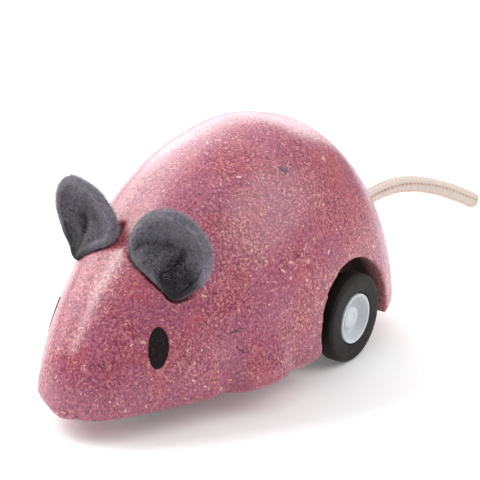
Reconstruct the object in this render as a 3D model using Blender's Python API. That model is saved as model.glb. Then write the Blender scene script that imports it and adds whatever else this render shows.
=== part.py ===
"""Pull-back toy mouse: pressed wood-fibre body, felt ears, cord tail, rubber-tyred rear wheels
on a spring motor, and two small front rollers.

Metres, +Z up. The nose points along -Y and the mouse's left side is +X. The origin is on the
floor under the middle of the body. Lengths below are written in millimetres and turned into
metres by MM.
"""
import math

import bmesh
import bpy
from mathutils import Matrix, Vector

MM = 0.001

# ---------------------------------------------------------------- driving dimensions (mm)
GAP = 0.3                      # clearance between pieces that touch or rest on each other
BORE_PLAY = 0.12               # radial clearance of a shaft that turns in a bore

# Body block: (distance along Y, height of the back) and (distance along Y, half width)
BACK_LINE = [(-47.5, 12.5), (-43.0, 18.6), (-36.0, 27.0), (-28.0, 33.8), (-19.0, 40.2),
             (-9.0, 46.0), (3.0, 50.2), (15.0, 51.6), (26.0, 49.5), (35.0, 43.8),
             (42.0, 35.0), (47.5, 26.0)]
PLAN_LINE = [(-47.5, 6.4), (-43.0, 10.3), (-34.0, 16.0), (-26.0, 20.0), (-18.0, 23.3),
             (-8.0, 26.3), (4.0, 28.3), (17.0, 28.8), (29.0, 28.0), (37.0, 25.4),
             (43.0, 20.8), (47.5, 15.5)]
NOSE_ROUNDING = 3.8            # length over which the nose closes to a round tip
RUMP_ROUNDING = 7.0            # the same at the rear
BODY_UNDERSIDE = 4.6           # height of the flat underside above the floor
BODY_EDGE_RADIUS = 3.2         # rounding between the flanks and the underside
FLANK_POWER = 2.2              # superellipse powers of a cross section
CROWN_POWER = 2.05
NOSE_WIDTH_SHARE = 0.6         # limits of that rounding, as shares of the section it is on
NOSE_HEIGHT_SHARE = 0.4
END_HEIGHT_POWER = 0.7         # the ends close more slowly in height than in width
END_FACE_SHARE = 0.02          # share of the length's half turn taken by each flat end face
BODY_RINGS = 34
CROWN_STEPS = 10
EDGE_STEPS = 4
POCKET_PLAY = GAP + 0.2        # clearance of the pockets in the body
AXLE_SLOT_PLAY = 0.6           # clearance of the slot that lets the rear axle in from below
CUT_WIDTH = 72.0               # wider than the body
CUT_REAR_Y = 50.0              # behind the body

PAW_BULGE = 2.4                # how far a front paw stands out of the flank
PAW_CENTRE = (-15.0, 7.5)      # (Y, Z)
PAW_REACH_FRONT = 4.5
PAW_REACH_REAR = 8.0
PAW_REACH_UP = 6.0
REAR_HEM_Y = 30.2              # behind the arches the underside is higher
REAR_HEM_Z = 6.3

# Rear wheels
REAR_AXLE_Y = 17.0
REAR_AXLE_Z = 10.0
TYRE_RADIUS = 10.0
TYRE_WIDTH = 6.5
TYRE_SHOULDER = (1.0, 0.35, 0.25, 0.9)   # shoulder's two widths, then its two depths
TREAD_STEP_WIDTH = 2.4         # lower part of the tread on the inboard side
TREAD_STEP_DEPTH = 0.7
WHEEL_FACE_X = 28.0            # outer face of each rear tyre
HUB_RADIUS = 5.8
HUB_PLAY = 0.2                 # between a hub and its tyre
HUB_PROUD = 0.1                # how far a hub's lip stands out of its tyre
HUB_LIP = 0.5
HUB_WEB_DEPTH = 2.4            # how deep the web between lip and boss lies
HUB_WEB_RISE = 1.1             # how much the dish narrows towards the web
HUB_BOSS_FOOT = 2.7            # radius of the boss at the web and at its face
HUB_BOSS_FACE = 2.45
HUB_BOSS_DEPTH = 1.0           # from the tyre's face in to the boss's face
HUB_EYE_RADIUS = 0.4           # small hole in the boss, over the end of the axle
HUB_EYE_DEPTH = 1.9
AXLE_END_GAP = 0.2
AXLE_RADIUS = 1.0
ARCH_RADIUS = 13.3
ARCH_WALL_X = 19.3             # flat inner wall of a wheel arch
ARCH_CUT_DEPTH = 15.0
ARCH_STEPS = 22

# Front rollers
FRONT_AXLE_Y = -27.0
ROLLER_RADIUS = 6.0
ROLLER_WIDTH = 5.4
ROLLER_INNER_X = 0.8
CHEEK_INNER_X = 6.9
CHEEK_THICKNESS = 1.3
CHEEK_HALF_LENGTH = 3.0
CHEEK_REACH_DOWN = 2.4         # how far the cheeks reach below the axle
BRACKET_HALF_WIDTH = CHEEK_INNER_X + CHEEK_THICKNESS + 1.4
BRACKET_HALF_LENGTH = 7.4
BRACKET_ROOF_Z = 14.2
BRACKET_PLATE = 1.3
BRACKET_SCREW_OFFSET = 5.2     # each screw's distance from the axle along Y
BRACKET_CUT_REACH = 12.0       # wider than the bracket
ROLLER_CHAMFER = 0.5
SCREW_HOLE_PLAY = 0.2          # of the holes that a screw passes through

# Spring motor
GEAR_MODULE = 0.5
AXLE_PINION_TEETH = 12
MIDDLE_WHEEL_TEETH = 28
MIDDLE_PINION_TEETH = 10
SPRING_WHEEL_TEETH = 34
PRESSURE_ANGLE = 20.0          # degrees
TOOTH_RISE = 0.85              # above the pitch circle, in modules
TOOTH_DEPTH = 1.25             # below the pitch circle, in modules
TOOTH_SHARE = 0.40             # half a tooth's angle at the pitch circle, in half pitches
TOOTH_TIP_ANGLE = 0.012        # least half angle of a tooth's tip, in radians
AXLE_PINION_X = (1.8, 6.2)     # where each gear starts and ends along X
MIDDLE_WHEEL_X = (2.5, 5.5)
MIDDLE_PINION_X = (-4.0, 3.5)
SPRING_WHEEL_X = (-2.8, 0.2)
MAINSPRING_X = (-7.8, -3.4)
MAINSPRING_TURNS = 6
MAINSPRING_STEPS = 22          # corners of each turn
MAINSPRING_STRIP = 0.28
MAINSPRING_INNER_GAP = 0.5     # between the arbor and the innermost turn
MAINSPRING_OUTER_RADIUS = 7.6
PIN_END_GAP = 0.2              # a pin ends this far inside the case's outside
MIDDLE_SHAFT_RISE = 26.0       # degrees above horizontal, seen from the rear axle
SPRING_SHAFT_RISE = 20.0       # degrees above horizontal, seen from the middle shaft
MIDDLE_PIN_RADIUS = 0.75
ARBOR_RADIUS = 1.5
CASE_WALL = 1.0
CASE_HALF_WIDTH = 10.4
CASE_FRONT_Y = -13.2
CASE_REAR_Y = 22.4
CASE_FLOOR_Z = 5.4
CASE_ROOF_Z = 28.6
CASE_SEAM = 0.15               # half the gap between the two halves of the case
TAB_THICKNESS = 1.2
TAB_FLOOR_Z = 6.3
TAB_CEILING = TAB_FLOOR_Z + TAB_THICKNESS + GAP
TAB_HALF_WIDTH = 3.0
TAB_SIDE_Y = -5.0              # middle of the two side tabs
TAB_REACH_X = 16.2
TAB_SCREW_X = 13.6
TAB_REACH_Y = CASE_REAR_Y + 5.6
TAB_SCREW_Y = CASE_REAR_Y + 3.0

# Screws
SCREW_RADIUS = 0.9
SCREW_HEAD_RADIUS = 1.7
SCREW_HEAD_HEIGHT = 0.9
SCREW_BITE = 5.5               # length that a screw reaches into the body
SCREW_POINT = 0.8              # length of its point
SCREW_SHANK_EXTRA = 1.4        # shank ahead of the length that bites

# Ears
EAR_THICKNESS = 1.8
RIGHT_EAR_LIFT = 2.0           # the right ear sits less deep in its slot
EAR_RIM = [(13.4, -26.4, 26.3), (10.6, -27.1, 28.4), (6.8, -27.7, 30.8), (3.2, -27.9, 33.0),
           (2.0, -27.6, 35.6), (3.5, -27.5, 39.3), (7.2, -27.5, 42.8), (12.4, -27.7, 44.5),
           (16.3, -26.5, 42.8), (19.0, -25.3, 39.3), (19.7, -24.6, 35.2), (18.5, -24.4, 30.9),
           (16.2, -24.9, 28.2)]    # edge of the left ear's felt, from its foot round by the inner side
EAR_CUP = (11.6, -22.4, 35.6)  # the bottom of its hollow
EAR_HOLLOW_POWER = 1.55        # how much flatter the hollow is in its middle than at its rim
EAR_STANDOFF = 1.9             # from the forehead to the felt's middle, ahead of the slot
EAR_FOOT_SHARE = 0.60          # share of the way to the rim at which the felt turns to the slot
EAR_DIVE = 2.9                 # how far the rim turns back into the slot
EAR_RING_SHARES = (0.25, 0.50, 0.68, 0.78, 0.86, 0.93, 1.0)
EAR_SPOKES = 26
EAR_SLOT_PLAY = 0.35
EAR_SLOT_SHARE = 1.045         # how far the slot reaches past the rim, as a share of the ear
EAR_BEND = 0.6                 # softness of the bend where the felt is held off the forehead
EAR_FACING_STEP = 0.03         # step over which the sheet's direction is taken
EAR_FACING_START = 0.12        # least share of the way to the rim at which it is taken
FOREHEAD_AT = (-30.3, 32.0)    # Y and Z of the forehead's middle between the ears
FOREHEAD_SLOPE = 1.23          # growth of its Y with height there
FOREHEAD_BEND = 0.0194         # growth of that slope with height
FOREHEAD_ROUND = 0.0465        # how it falls back to the sides

# Tail
TAIL_RADIUS = 2.15
TAIL_ROUTE = [(0.0, 40.5, 13.9), (0.0, 44.0, 14.7), (0.1, 47.5, 15.6), (0.5, 54.0, 17.1),
              (1.3, 60.5, 18.5), (2.6, 66.5, 19.6), (4.4, 71.4, 20.3), (6.6, 75.6, 20.2),
              (9.0, 80.0, 19.2), (11.6, 84.6, 17.4), (14.2, 89.2, 15.0), (16.6, 93.2, 12.6)]
TAIL_POINTS = 18
TAIL_SOCKET_DEPTH = 14.0       # length of the cut of the socket, out through the rump


# ---------------------------------------------------------------- small tools
def clear_scene():
    for thing in list(bpy.data.objects):
        bpy.data.objects.remove(thing, do_unlink=True)


def material(name, colour, roughness, metallic=0.0):
    made = bpy.data.materials.new(name)
    made.use_nodes = True
    shader = made.node_tree.nodes["Principled BSDF"]
    shader.inputs["Base Color"].default_value = (*colour, 1.0)
    shader.inputs["Roughness"].default_value = roughness
    shader.inputs["Metallic"].default_value = metallic
    made.diffuse_color = (*colour, 1.0)
    return made


def object_from(name, mesh_builder, skin=None, location=(0.0, 0.0, 0.0), smooth=True):
    """Make an object from a bmesh in millimetres, and place it at a point in millimetres."""
    bmesh.ops.recalc_face_normals(mesh_builder, faces=mesh_builder.faces[:])
    if mesh_builder.calc_volume(signed=True) < 0:
        bmesh.ops.reverse_faces(mesh_builder, faces=mesh_builder.faces[:])
    bmesh.ops.scale(mesh_builder, vec=(MM, MM, MM), verts=mesh_builder.verts[:])
    mesh = bpy.data.meshes.new(name)
    mesh_builder.to_mesh(mesh)
    mesh_builder.free()
    if smooth:
        mesh.shade_smooth()
        mesh.set_sharp_from_angle(angle=math.radians(35.0))
    thing = bpy.data.objects.new(name, mesh)
    thing.location = Vector(location) * MM
    if skin:
        mesh.materials.append(skin)
    bpy.context.scene.collection.objects.link(thing)
    return thing


def box(low, high):
    builder = bmesh.new()
    bmesh.ops.create_cube(builder, size=1.0)
    size = [high[k] - low[k] for k in range(3)]
    middle = [(high[k] + low[k]) / 2 for k in range(3)]
    bmesh.ops.scale(builder, vec=size, verts=builder.verts[:])
    bmesh.ops.translate(builder, vec=middle, verts=builder.verts[:])
    return builder


def turned_about_x(outline, steps):
    """Spin a closed outline of (x, radius) points once round the X axis."""
    builder = bmesh.new()
    corners = [builder.verts.new((x, radius, 0.0)) for x, radius in outline]
    edges = [builder.edges.new((corners[k - 1], corners[k])) for k in range(len(corners))]
    bmesh.ops.spin(builder, geom=corners + edges, cent=(0, 0, 0), axis=(1, 0, 0),
                   angle=math.tau, steps=steps, use_merge=True)
    bmesh.ops.remove_doubles(builder, verts=builder.verts[:], dist=0.0001)
    return builder


def rod_along_x(start, end, radius, steps=20):
    builder = bmesh.new()
    bmesh.ops.create_cone(builder, cap_ends=True, segments=steps, radius1=radius,
                          radius2=radius, depth=end - start)
    bmesh.ops.rotate(builder, cent=(0, 0, 0), matrix=Matrix.Rotation(math.pi / 2, 3, "Y"),
                     verts=builder.verts[:])
    bmesh.ops.translate(builder, vec=((start + end) / 2, 0, 0), verts=builder.verts[:])
    return builder


def upright_rod(low, high, radius, steps=14):
    builder = bmesh.new()
    bmesh.ops.create_cone(builder, cap_ends=True, segments=steps, radius1=radius,
                          radius2=radius, depth=high - low)
    bmesh.ops.translate(builder, vec=(0, 0, (low + high) / 2), verts=builder.verts[:])
    return builder


def prism_along_x(outline, start, end):
    """Extrude a closed outline of (y, z) points from one X to another."""
    builder = bmesh.new()
    face = builder.faces.new([builder.verts.new((start, y, z)) for y, z in outline])
    grown = bmesh.ops.extrude_face_region(builder, geom=[face])
    moved = [item for item in grown["geom"] if isinstance(item, bmesh.types.BMVert)]
    bmesh.ops.translate(builder, vec=(end - start, 0, 0), verts=moved)
    return builder


def cut(target, tools):
    """Subtract each tool from the target; tools stay in the file as hidden wire guides."""
    for tool in tools:
        tool.hide_render = True
        tool.display_type = "WIRE"
        carve = target.modifiers.new("cut_" + tool.name, "BOOLEAN")
        carve.operation = "DIFFERENCE"
        carve.solver = "EXACT"
        carve.object = tool


def bore(name, location, start, end, radius, steps=20):
    return object_from(name, rod_along_x(start, end, radius, steps), location=location)


def smooth_line(points):
    """A curve through the points whose slope never overshoots, as a function of the first value."""
    spans = [b[0] - a[0] for a, b in zip(points, points[1:])]
    slopes = [(b[1] - a[1]) / span for a, b, span in zip(points, points[1:], spans)]
    tangents = [slopes[0]]
    for left, right in zip(slopes, slopes[1:]):
        agree = left * right > 0
        tangents.append(2 * left * right / (left + right) if agree else 0.0)
    tangents.append(slopes[-1])

    def value(at):
        k = 0
        while k < len(spans) - 1 and at > points[k + 1][0]:
            k += 1
        t = min(max((at - points[k][0]) / spans[k], 0.0), 1.0)
        rise = points[k + 1][1] - points[k][1]
        ease = t * t * (3 - 2 * t)
        return (points[k][1] + rise * ease + spans[k] * t * (1 - t)
                * (tangents[k] * (1 - t) - tangents[k + 1] * t))

    return value


# ---------------------------------------------------------------- body block
back_height = smooth_line(BACK_LINE)
plan_half_width = smooth_line(PLAN_LINE)


def paw_bulge(y, z):
    reach = PAW_REACH_FRONT if y < PAW_CENTRE[0] else PAW_REACH_REAR
    along = (y - PAW_CENTRE[0]) / reach
    above = max(z - PAW_CENTRE[1], 0.0) / PAW_REACH_UP
    return PAW_BULGE * math.exp(-along ** 4 - above ** 2)


def end_rounding(y):
    """1 along the body, falling to 0 along a quarter circle at the nose and at the rump."""
    from_nose = min((y - BACK_LINE[0][0]) / NOSE_ROUNDING, 1.0)
    from_rump = min((BACK_LINE[-1][0] - y) / RUMP_ROUNDING, 1.0)
    return math.sqrt(1 - (1 - from_nose) ** 2) * math.sqrt(1 - (1 - from_rump) ** 2)


def half_section(y):
    """Points of the +X half of a cross section, from the underside's edge to the crown."""
    width = plan_half_width(y) * end_rounding(y)
    height = (back_height(y) - BODY_UNDERSIDE) * end_rounding(y) ** END_HEIGHT_POWER
    edge = min(BODY_EDGE_RADIUS, NOSE_WIDTH_SHARE * width, NOSE_HEIGHT_SHARE * height)
    points = []
    for step in range(EDGE_STEPS):
        turn = math.radians(90.0) * step / EDGE_STEPS
        points.append((width - edge + edge * math.sin(turn), edge * (1 - math.cos(turn))))
    first = math.asin((edge / height) ** (CROWN_POWER / 2))
    for step in range(CROWN_STEPS):
        turn = first + (math.pi / 2 - first) * step / CROWN_STEPS
        points.append((width * math.cos(turn) ** (2 / FLANK_POWER),
                       height * math.sin(turn) ** (2 / CROWN_POWER)))
    bulged = []
    for x, z in points:
        out = x + paw_bulge(y, z + BODY_UNDERSIDE) * min(1.0, x / width) ** 4
        bulged.append((out, z + BODY_UNDERSIDE))
    return bulged, (0.0, height + BODY_UNDERSIDE)


def body_block():
    builder = bmesh.new()
    rings = []
    first = BACK_LINE[0][0]
    last = BACK_LINE[-1][0]
    for step in range(BODY_RINGS + 1):
        turn = math.pi * (END_FACE_SHARE + (1 - 2 * END_FACE_SHARE) * step / BODY_RINGS)
        y = first + (last - first) * (1 - math.cos(turn)) / 2
        side, crown = half_section(y)
        loop = [(x, z) for x, z in side] + [crown] + [(-x, z) for x, z in reversed(side)]
        rings.append([builder.verts.new((x, y, z)) for x, z in loop])
    for near, far in zip(rings, rings[1:]):
        for k in range(len(near)):
            builder.faces.new((near[k - 1], near[k], far[k], far[k - 1]))
    builder.faces.new(rings[0])
    builder.faces.new(reversed(rings[-1]))
    return builder


def arch_outline():
    """Wheel arch seen from the side: a half circle over straight sides that run off the bottom."""
    points = []
    for k in range(ARCH_STEPS + 1):
        turn = math.pi * k / ARCH_STEPS
        points.append((REAR_AXLE_Y + ARCH_RADIUS * math.cos(turn),
                       REAR_AXLE_Z + ARCH_RADIUS * math.sin(turn)))
    return points + [(REAR_AXLE_Y - ARCH_RADIUS, -2.0), (REAR_AXLE_Y + ARCH_RADIUS, -2.0)]


def make_body(skin, ear_tools):
    body = object_from("body_shell", body_block(), skin)
    tools = []
    for side in (1, -1):
        reach = sorted((side * ARCH_WALL_X, side * (ARCH_WALL_X + ARCH_CUT_DEPTH)))
        tools.append(object_from("tool_arch_" + ("left" if side > 0 else "right"),
                                 prism_along_x(arch_outline(), *reach)))
    clear = POCKET_PLAY
    slot = AXLE_RADIUS + AXLE_SLOT_PLAY
    case_half = CASE_HALF_WIDTH + clear
    # every tool starts at its own depth below the body, so that no two of their faces coincide
    pockets = {
        "tool_motor_pocket": ((-case_half, CASE_FRONT_Y - clear, -1.0),
                              (case_half, CASE_REAR_Y + clear, CASE_ROOF_Z + clear)),
        "tool_side_tabs": ((-TAB_REACH_X - clear, TAB_SIDE_Y - TAB_HALF_WIDTH - clear, -1.5),
                           (TAB_REACH_X + clear, TAB_SIDE_Y + TAB_HALF_WIDTH + clear, TAB_CEILING)),
        "tool_rear_tab": ((-TAB_HALF_WIDTH - clear, CASE_REAR_Y - 4.0, -2.0),
                          (TAB_HALF_WIDTH + clear, TAB_REACH_Y + clear, TAB_CEILING)),
        "tool_axle_slot": ((-ARCH_WALL_X - 1.0, REAR_AXLE_Y - slot, -2.5),
                           (ARCH_WALL_X + 1.0, REAR_AXLE_Y + slot, REAR_AXLE_Z + slot)),
        "tool_front_pocket": ((-BRACKET_HALF_WIDTH - clear,
                               FRONT_AXLE_Y - BRACKET_HALF_LENGTH - clear, -3.0),
                              (BRACKET_HALF_WIDTH + clear, FRONT_AXLE_Y + BRACKET_HALF_LENGTH + clear,
                               BRACKET_ROOF_Z + GAP)),
        "tool_rear_hem": ((-CUT_WIDTH / 2, REAR_HEM_Y, -3.0), (CUT_WIDTH / 2, CUT_REAR_Y, REAR_HEM_Z)),
    }
    for name, (low, high) in pockets.items():
        tools.append(object_from(name, box(low, high), smooth=False))
    holes = [("tool_pilot_left", TAB_SCREW_X, TAB_SIDE_Y, TAB_CEILING),
             ("tool_pilot_right", -TAB_SCREW_X, TAB_SIDE_Y, TAB_CEILING),
             ("tool_pilot_rear", 0.0, TAB_SCREW_Y, TAB_CEILING),
             ("tool_pilot_front", 0.0, FRONT_AXLE_Y - BRACKET_SCREW_OFFSET, BRACKET_ROOF_Z),
             ("tool_pilot_middle", 0.0, FRONT_AXLE_Y + BRACKET_SCREW_OFFSET, BRACKET_ROOF_Z)]
    for name, x, y, z in holes:
        tools.append(object_from(name, upright_rod(z - 1.0, z + SCREW_BITE, SCREW_RADIUS + GAP),
                                 location=(x, y, 0.0)))
    start = Vector(TAIL_ROUTE[0])
    along = (Vector(TAIL_ROUTE[2]) - start).normalized()
    socket = object_from("tool_tail_socket", rod_along_x(-GAP, TAIL_SOCKET_DEPTH, TAIL_RADIUS + GAP, 16),
                         location=start)
    socket.rotation_mode = "QUATERNION"
    socket.rotation_quaternion = along.to_track_quat("X", "Z")
    tools.append(socket)
    cut(body, tools + ear_tools)
    return body


# ---------------------------------------------------------------- screws
def make_screw(name, skin, x, y, under):
    """A pan-head screw driven upwards; its head sits just below the height `under`."""
    shank = SCREW_BITE + SCREW_SHANK_EXTRA
    outline = [(0.0, 0.0), (0.0, 1.1), (0.35, SCREW_HEAD_RADIUS - 0.15), (0.7, SCREW_HEAD_RADIUS),
               (SCREW_HEAD_HEIGHT, SCREW_HEAD_RADIUS), (SCREW_HEAD_HEIGHT, SCREW_RADIUS),
               (shank, SCREW_RADIUS), (shank + SCREW_POINT, 0.25), (shank + SCREW_POINT, 0.0)]
    builder = bmesh.new()
    chain = [builder.verts.new((radius, 0.0, along)) for along, radius in outline]
    edges = [builder.edges.new(pair) for pair in zip(chain, chain[1:])]
    bmesh.ops.spin(builder, geom=chain + edges, cent=(0, 0, 0), axis=(0, 0, 1),
                   angle=math.tau, steps=12, use_merge=True)
    bmesh.ops.remove_doubles(builder, verts=builder.verts[:], dist=0.0001)
    return object_from(name, builder, skin, (x, y, under - SCREW_HEAD_HEIGHT - 0.1))


# ---------------------------------------------------------------- rear wheels
def make_rear_wheels(rubber, plastic, steel):
    axle_at = (0.0, REAR_AXLE_Y, REAR_AXLE_Z)
    spin = bpy.data.objects.new("rear_axle_line", None)
    spin.location = Vector(axle_at) * MM
    bpy.context.scene.collection.objects.link(spin)
    inner = WHEEL_FACE_X - TYRE_WIDTH
    step_x = inner + TREAD_STEP_WIDTH
    low = TYRE_RADIUS - TREAD_STEP_DEPTH
    wide, narrow, shallow, deep = TYRE_SHOULDER
    tread = [(inner, HUB_RADIUS), (inner, low - 0.6), (inner + 0.5, low),
             (step_x, low), (step_x + 0.6, TYRE_RADIUS),
             (WHEEL_FACE_X - wide, TYRE_RADIUS), (WHEEL_FACE_X - narrow, TYRE_RADIUS - shallow),
             (WHEEL_FACE_X, TYRE_RADIUS - deep), (WHEEL_FACE_X, HUB_RADIUS)]
    lip = HUB_RADIUS - HUB_PLAY
    rear_x = inner + HUB_PLAY
    lip_x = WHEEL_FACE_X + HUB_PROUD
    web_x = WHEEL_FACE_X - HUB_WEB_DEPTH
    boss_x = WHEEL_FACE_X - HUB_BOSS_DEPTH
    eye_x = WHEEL_FACE_X - HUB_EYE_DEPTH
    hub = [(rear_x, AXLE_RADIUS + BORE_PLAY), (rear_x, lip), (lip_x, lip),
           (lip_x, lip - HUB_LIP), (web_x, lip - HUB_WEB_RISE),
           (web_x, HUB_BOSS_FOOT), (boss_x, HUB_BOSS_FACE), (boss_x, HUB_EYE_RADIUS),
           (eye_x, HUB_EYE_RADIUS), (eye_x, AXLE_RADIUS + BORE_PLAY)]
    made = []
    for side, word in ((1, "left"), (-1, "right")):
        for name, outline, skin, steps in (("rear_tyre_", tread, rubber, 36),
                                           ("rear_hub_", hub, plastic, 28)):
            builder = turned_about_x([(side * x, radius) for x, radius in outline], steps)
            made.append(object_from(name + word, builder, skin))
    reach = eye_x - AXLE_END_GAP
    made.append(object_from("rear_axle", rod_along_x(-reach, reach, AXLE_RADIUS, 20), steel))
    for piece in made:
        piece.parent = spin
    return spin


# ---------------------------------------------------------------- front rollers
def make_front_rollers(plastic, steel, moulding):
    spin = bpy.data.objects.new("front_axle_line", None)
    spin.location = Vector((0.0, FRONT_AXLE_Y, ROLLER_RADIUS)) * MM
    bpy.context.scene.collection.objects.link(spin)
    near = ROLLER_INNER_X
    far = ROLLER_INNER_X + ROLLER_WIDTH
    edge = ROLLER_CHAMFER
    outline = [(near, AXLE_RADIUS + BORE_PLAY), (near, ROLLER_RADIUS - edge),
               (near + edge, ROLLER_RADIUS), (far - edge, ROLLER_RADIUS),
               (far, ROLLER_RADIUS - edge), (far, AXLE_RADIUS + BORE_PLAY)]
    for side, word in ((1, "left"), (-1, "right")):
        builder = turned_about_x([(side * x, radius) for x, radius in outline], 28)
        object_from("front_wheel_" + word, builder, plastic).parent = spin
    reach = CHEEK_INNER_X + CHEEK_THICKNESS + 0.5
    object_from("front_axle", rod_along_x(-reach, reach, AXLE_RADIUS, 20), steel).parent = spin

    roof = BRACKET_ROOF_Z
    half = CHEEK_INNER_X + CHEEK_THICKNESS
    outline = [(-BRACKET_HALF_WIDTH, roof), (-BRACKET_HALF_WIDTH, roof - BRACKET_PLATE),
               (-half, roof - BRACKET_PLATE), (-half, ROLLER_RADIUS - CHEEK_REACH_DOWN),
               (-CHEEK_INNER_X, ROLLER_RADIUS - CHEEK_REACH_DOWN),
               (-CHEEK_INNER_X, roof - BRACKET_PLATE)]
    outline = outline + [(-x, z) for x, z in reversed(outline)]
    builder = bmesh.new()
    face = builder.faces.new([builder.verts.new((x, -BRACKET_HALF_LENGTH, z))
                              for x, z in outline])
    grown = bmesh.ops.extrude_face_region(builder, geom=[face])
    moved = [item for item in grown["geom"] if isinstance(item, bmesh.types.BMVert)]
    bmesh.ops.translate(builder, vec=(0, 2 * BRACKET_HALF_LENGTH, 0), verts=moved)
    bracket = object_from("front_bracket", builder, moulding, (0.0, FRONT_AXLE_Y, 0.0), False)
    tools = [bore("tool_bracket_axle", (0.0, FRONT_AXLE_Y, ROLLER_RADIUS), -BRACKET_CUT_REACH,
                  BRACKET_CUT_REACH, AXLE_RADIUS + BORE_PLAY)]
    for side, word in ((1, "front"), (-1, "rear")):
        near, far = sorted((FRONT_AXLE_Y - side * CHEEK_HALF_LENGTH, FRONT_AXLE_Y - side * 9.0))
        tools.append(object_from("tool_cheek_" + word,
                                 box((-BRACKET_CUT_REACH, near, 0.0),
                                     (BRACKET_CUT_REACH, far, roof - BRACKET_PLATE - 0.01)),
                                 smooth=False))
        tools.append(object_from("tool_bracket_screw_" + word,
                                 upright_rod(roof - 3.0, roof + 1.0, SCREW_RADIUS + SCREW_HOLE_PLAY),
                                 location=(0.0, FRONT_AXLE_Y - side * BRACKET_SCREW_OFFSET, 0.0)))
    cut(bracket, tools)
    return spin


# ---------------------------------------------------------------- gears
def involute(base, radius):
    """Angle of an involute flank at a radius, in radians, counted from its base circle."""
    spread = math.sqrt(max((radius / base) ** 2 - 1.0, 0.0))
    return spread - math.atan(spread)


def gear_outline(teeth, phase):
    """A spur gear's outline in (y, z), with a tooth centred on the angle `phase`."""
    pitch = GEAR_MODULE * teeth / 2
    base = pitch * math.cos(math.radians(PRESSURE_ANGLE))
    tip = pitch + TOOTH_RISE * GEAR_MODULE
    root = pitch - TOOTH_DEPTH * GEAR_MODULE
    half_tooth = TOOTH_SHARE * math.pi / teeth
    points = []
    for tooth in range(teeth):
        centre = phase + math.tau * tooth / teeth
        flank = []
        for step in range(3):
            radius = max(base, root) + (tip - max(base, root)) * step / 2
            half = half_tooth + involute(base, pitch) - involute(base, radius)
            flank.append((radius, max(half, TOOTH_TIP_ANGLE)))
        foot = (root, flank[0][1])
        chain = [(foot[0], -foot[1])] + [(radius, -half) for radius, half in flank]
        chain += [(radius, half) for radius, half in reversed(flank)] + [foot]
        for radius, angle in chain:
            points.append((radius * math.cos(centre + angle), radius * math.sin(centre + angle)))
    return points


def gear_solid(teeth, phase, start, end):
    return prism_along_x(gear_outline(teeth, phase), start, end)


def mesh_phase(direction, teeth):
    """Phase that puts a gap of a gear towards `direction`."""
    return direction + math.pi / teeth


def polar(origin, distance, degrees):
    turn = math.radians(degrees)
    return (origin[0] + distance * math.cos(turn), origin[1] + distance * math.sin(turn))


REAR_AXLE_AT = (REAR_AXLE_Y, REAR_AXLE_Z)
MIDDLE_AT = polar(REAR_AXLE_AT, GEAR_MODULE * (AXLE_PINION_TEETH + MIDDLE_WHEEL_TEETH) / 2,
                  180.0 - MIDDLE_SHAFT_RISE)
SPRING_AT = polar(MIDDLE_AT, GEAR_MODULE * (MIDDLE_PINION_TEETH + SPRING_WHEEL_TEETH) / 2,
                  180.0 - SPRING_SHAFT_RISE)


def make_gears(nylon, brass, steel, rear_spin):
    towards_middle = math.radians(180.0 - MIDDLE_SHAFT_RISE)
    towards_spring = math.radians(180.0 - SPRING_SHAFT_RISE)
    pin_end = CASE_HALF_WIDTH - PIN_END_GAP

    pinion = object_from("axle_pinion", gear_solid(AXLE_PINION_TEETH, towards_middle, *AXLE_PINION_X),
                         brass, smooth=False)
    pinion.parent = rear_spin
    cut(pinion, [bore("tool_pinion_bore", (0, *REAR_AXLE_AT), -1.0, 8.0, AXLE_RADIUS + BORE_PLAY)])

    at = (0.0, *MIDDLE_AT)
    wheel = object_from("middle_gear",
                        gear_solid(MIDDLE_WHEEL_TEETH,
                                   mesh_phase(towards_middle + math.pi, MIDDLE_WHEEL_TEETH),
                                   *MIDDLE_WHEEL_X), nylon, at, False)
    small = object_from("tool_middle_pinion",
                        gear_solid(MIDDLE_PINION_TEETH, towards_spring, *MIDDLE_PINION_X),
                        None, at, False)
    small.hide_render = True
    small.display_type = "WIRE"
    join = wheel.modifiers.new("join_pinion", "BOOLEAN")
    join.operation = "UNION"
    join.solver = "EXACT"
    join.object = small
    cut(wheel, [bore("tool_middle_bore", at, -6.0, 8.0, MIDDLE_PIN_RADIUS + BORE_PLAY)])
    object_from("middle_pin", rod_along_x(-pin_end, pin_end, MIDDLE_PIN_RADIUS, 16), steel, at)

    at = (0.0, *SPRING_AT)
    drum = object_from("spring_gear",
                       gear_solid(SPRING_WHEEL_TEETH,
                                  mesh_phase(towards_spring + math.pi, SPRING_WHEEL_TEETH),
                                  *SPRING_WHEEL_X), nylon, at, False)
    cut(drum, [bore("tool_drum_bore", at, -6.0, 6.0, ARBOR_RADIUS + BORE_PLAY)])
    object_from("spring_arbor", rod_along_x(-pin_end, pin_end, ARBOR_RADIUS, 20), steel, at)


def make_mainspring(skin):
    """A flat steel strip wound as a spiral round the arbor."""
    inner = ARBOR_RADIUS + MAINSPRING_INNER_GAP
    total = MAINSPRING_TURNS * MAINSPRING_STEPS
    ring = []
    for side in (0, 1):
        for step in range(total + 1):
            k = step if side == 0 else total - step
            radius = (inner + (MAINSPRING_OUTER_RADIUS - inner) * k / total
                      + side * MAINSPRING_STRIP)
            turn = math.tau * k / MAINSPRING_STEPS
            ring.append((radius * math.cos(turn), radius * math.sin(turn)))
    builder = prism_along_x(ring, *MAINSPRING_X)
    return object_from("mainspring", builder, skin, (0.0, *SPRING_AT), False)


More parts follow.
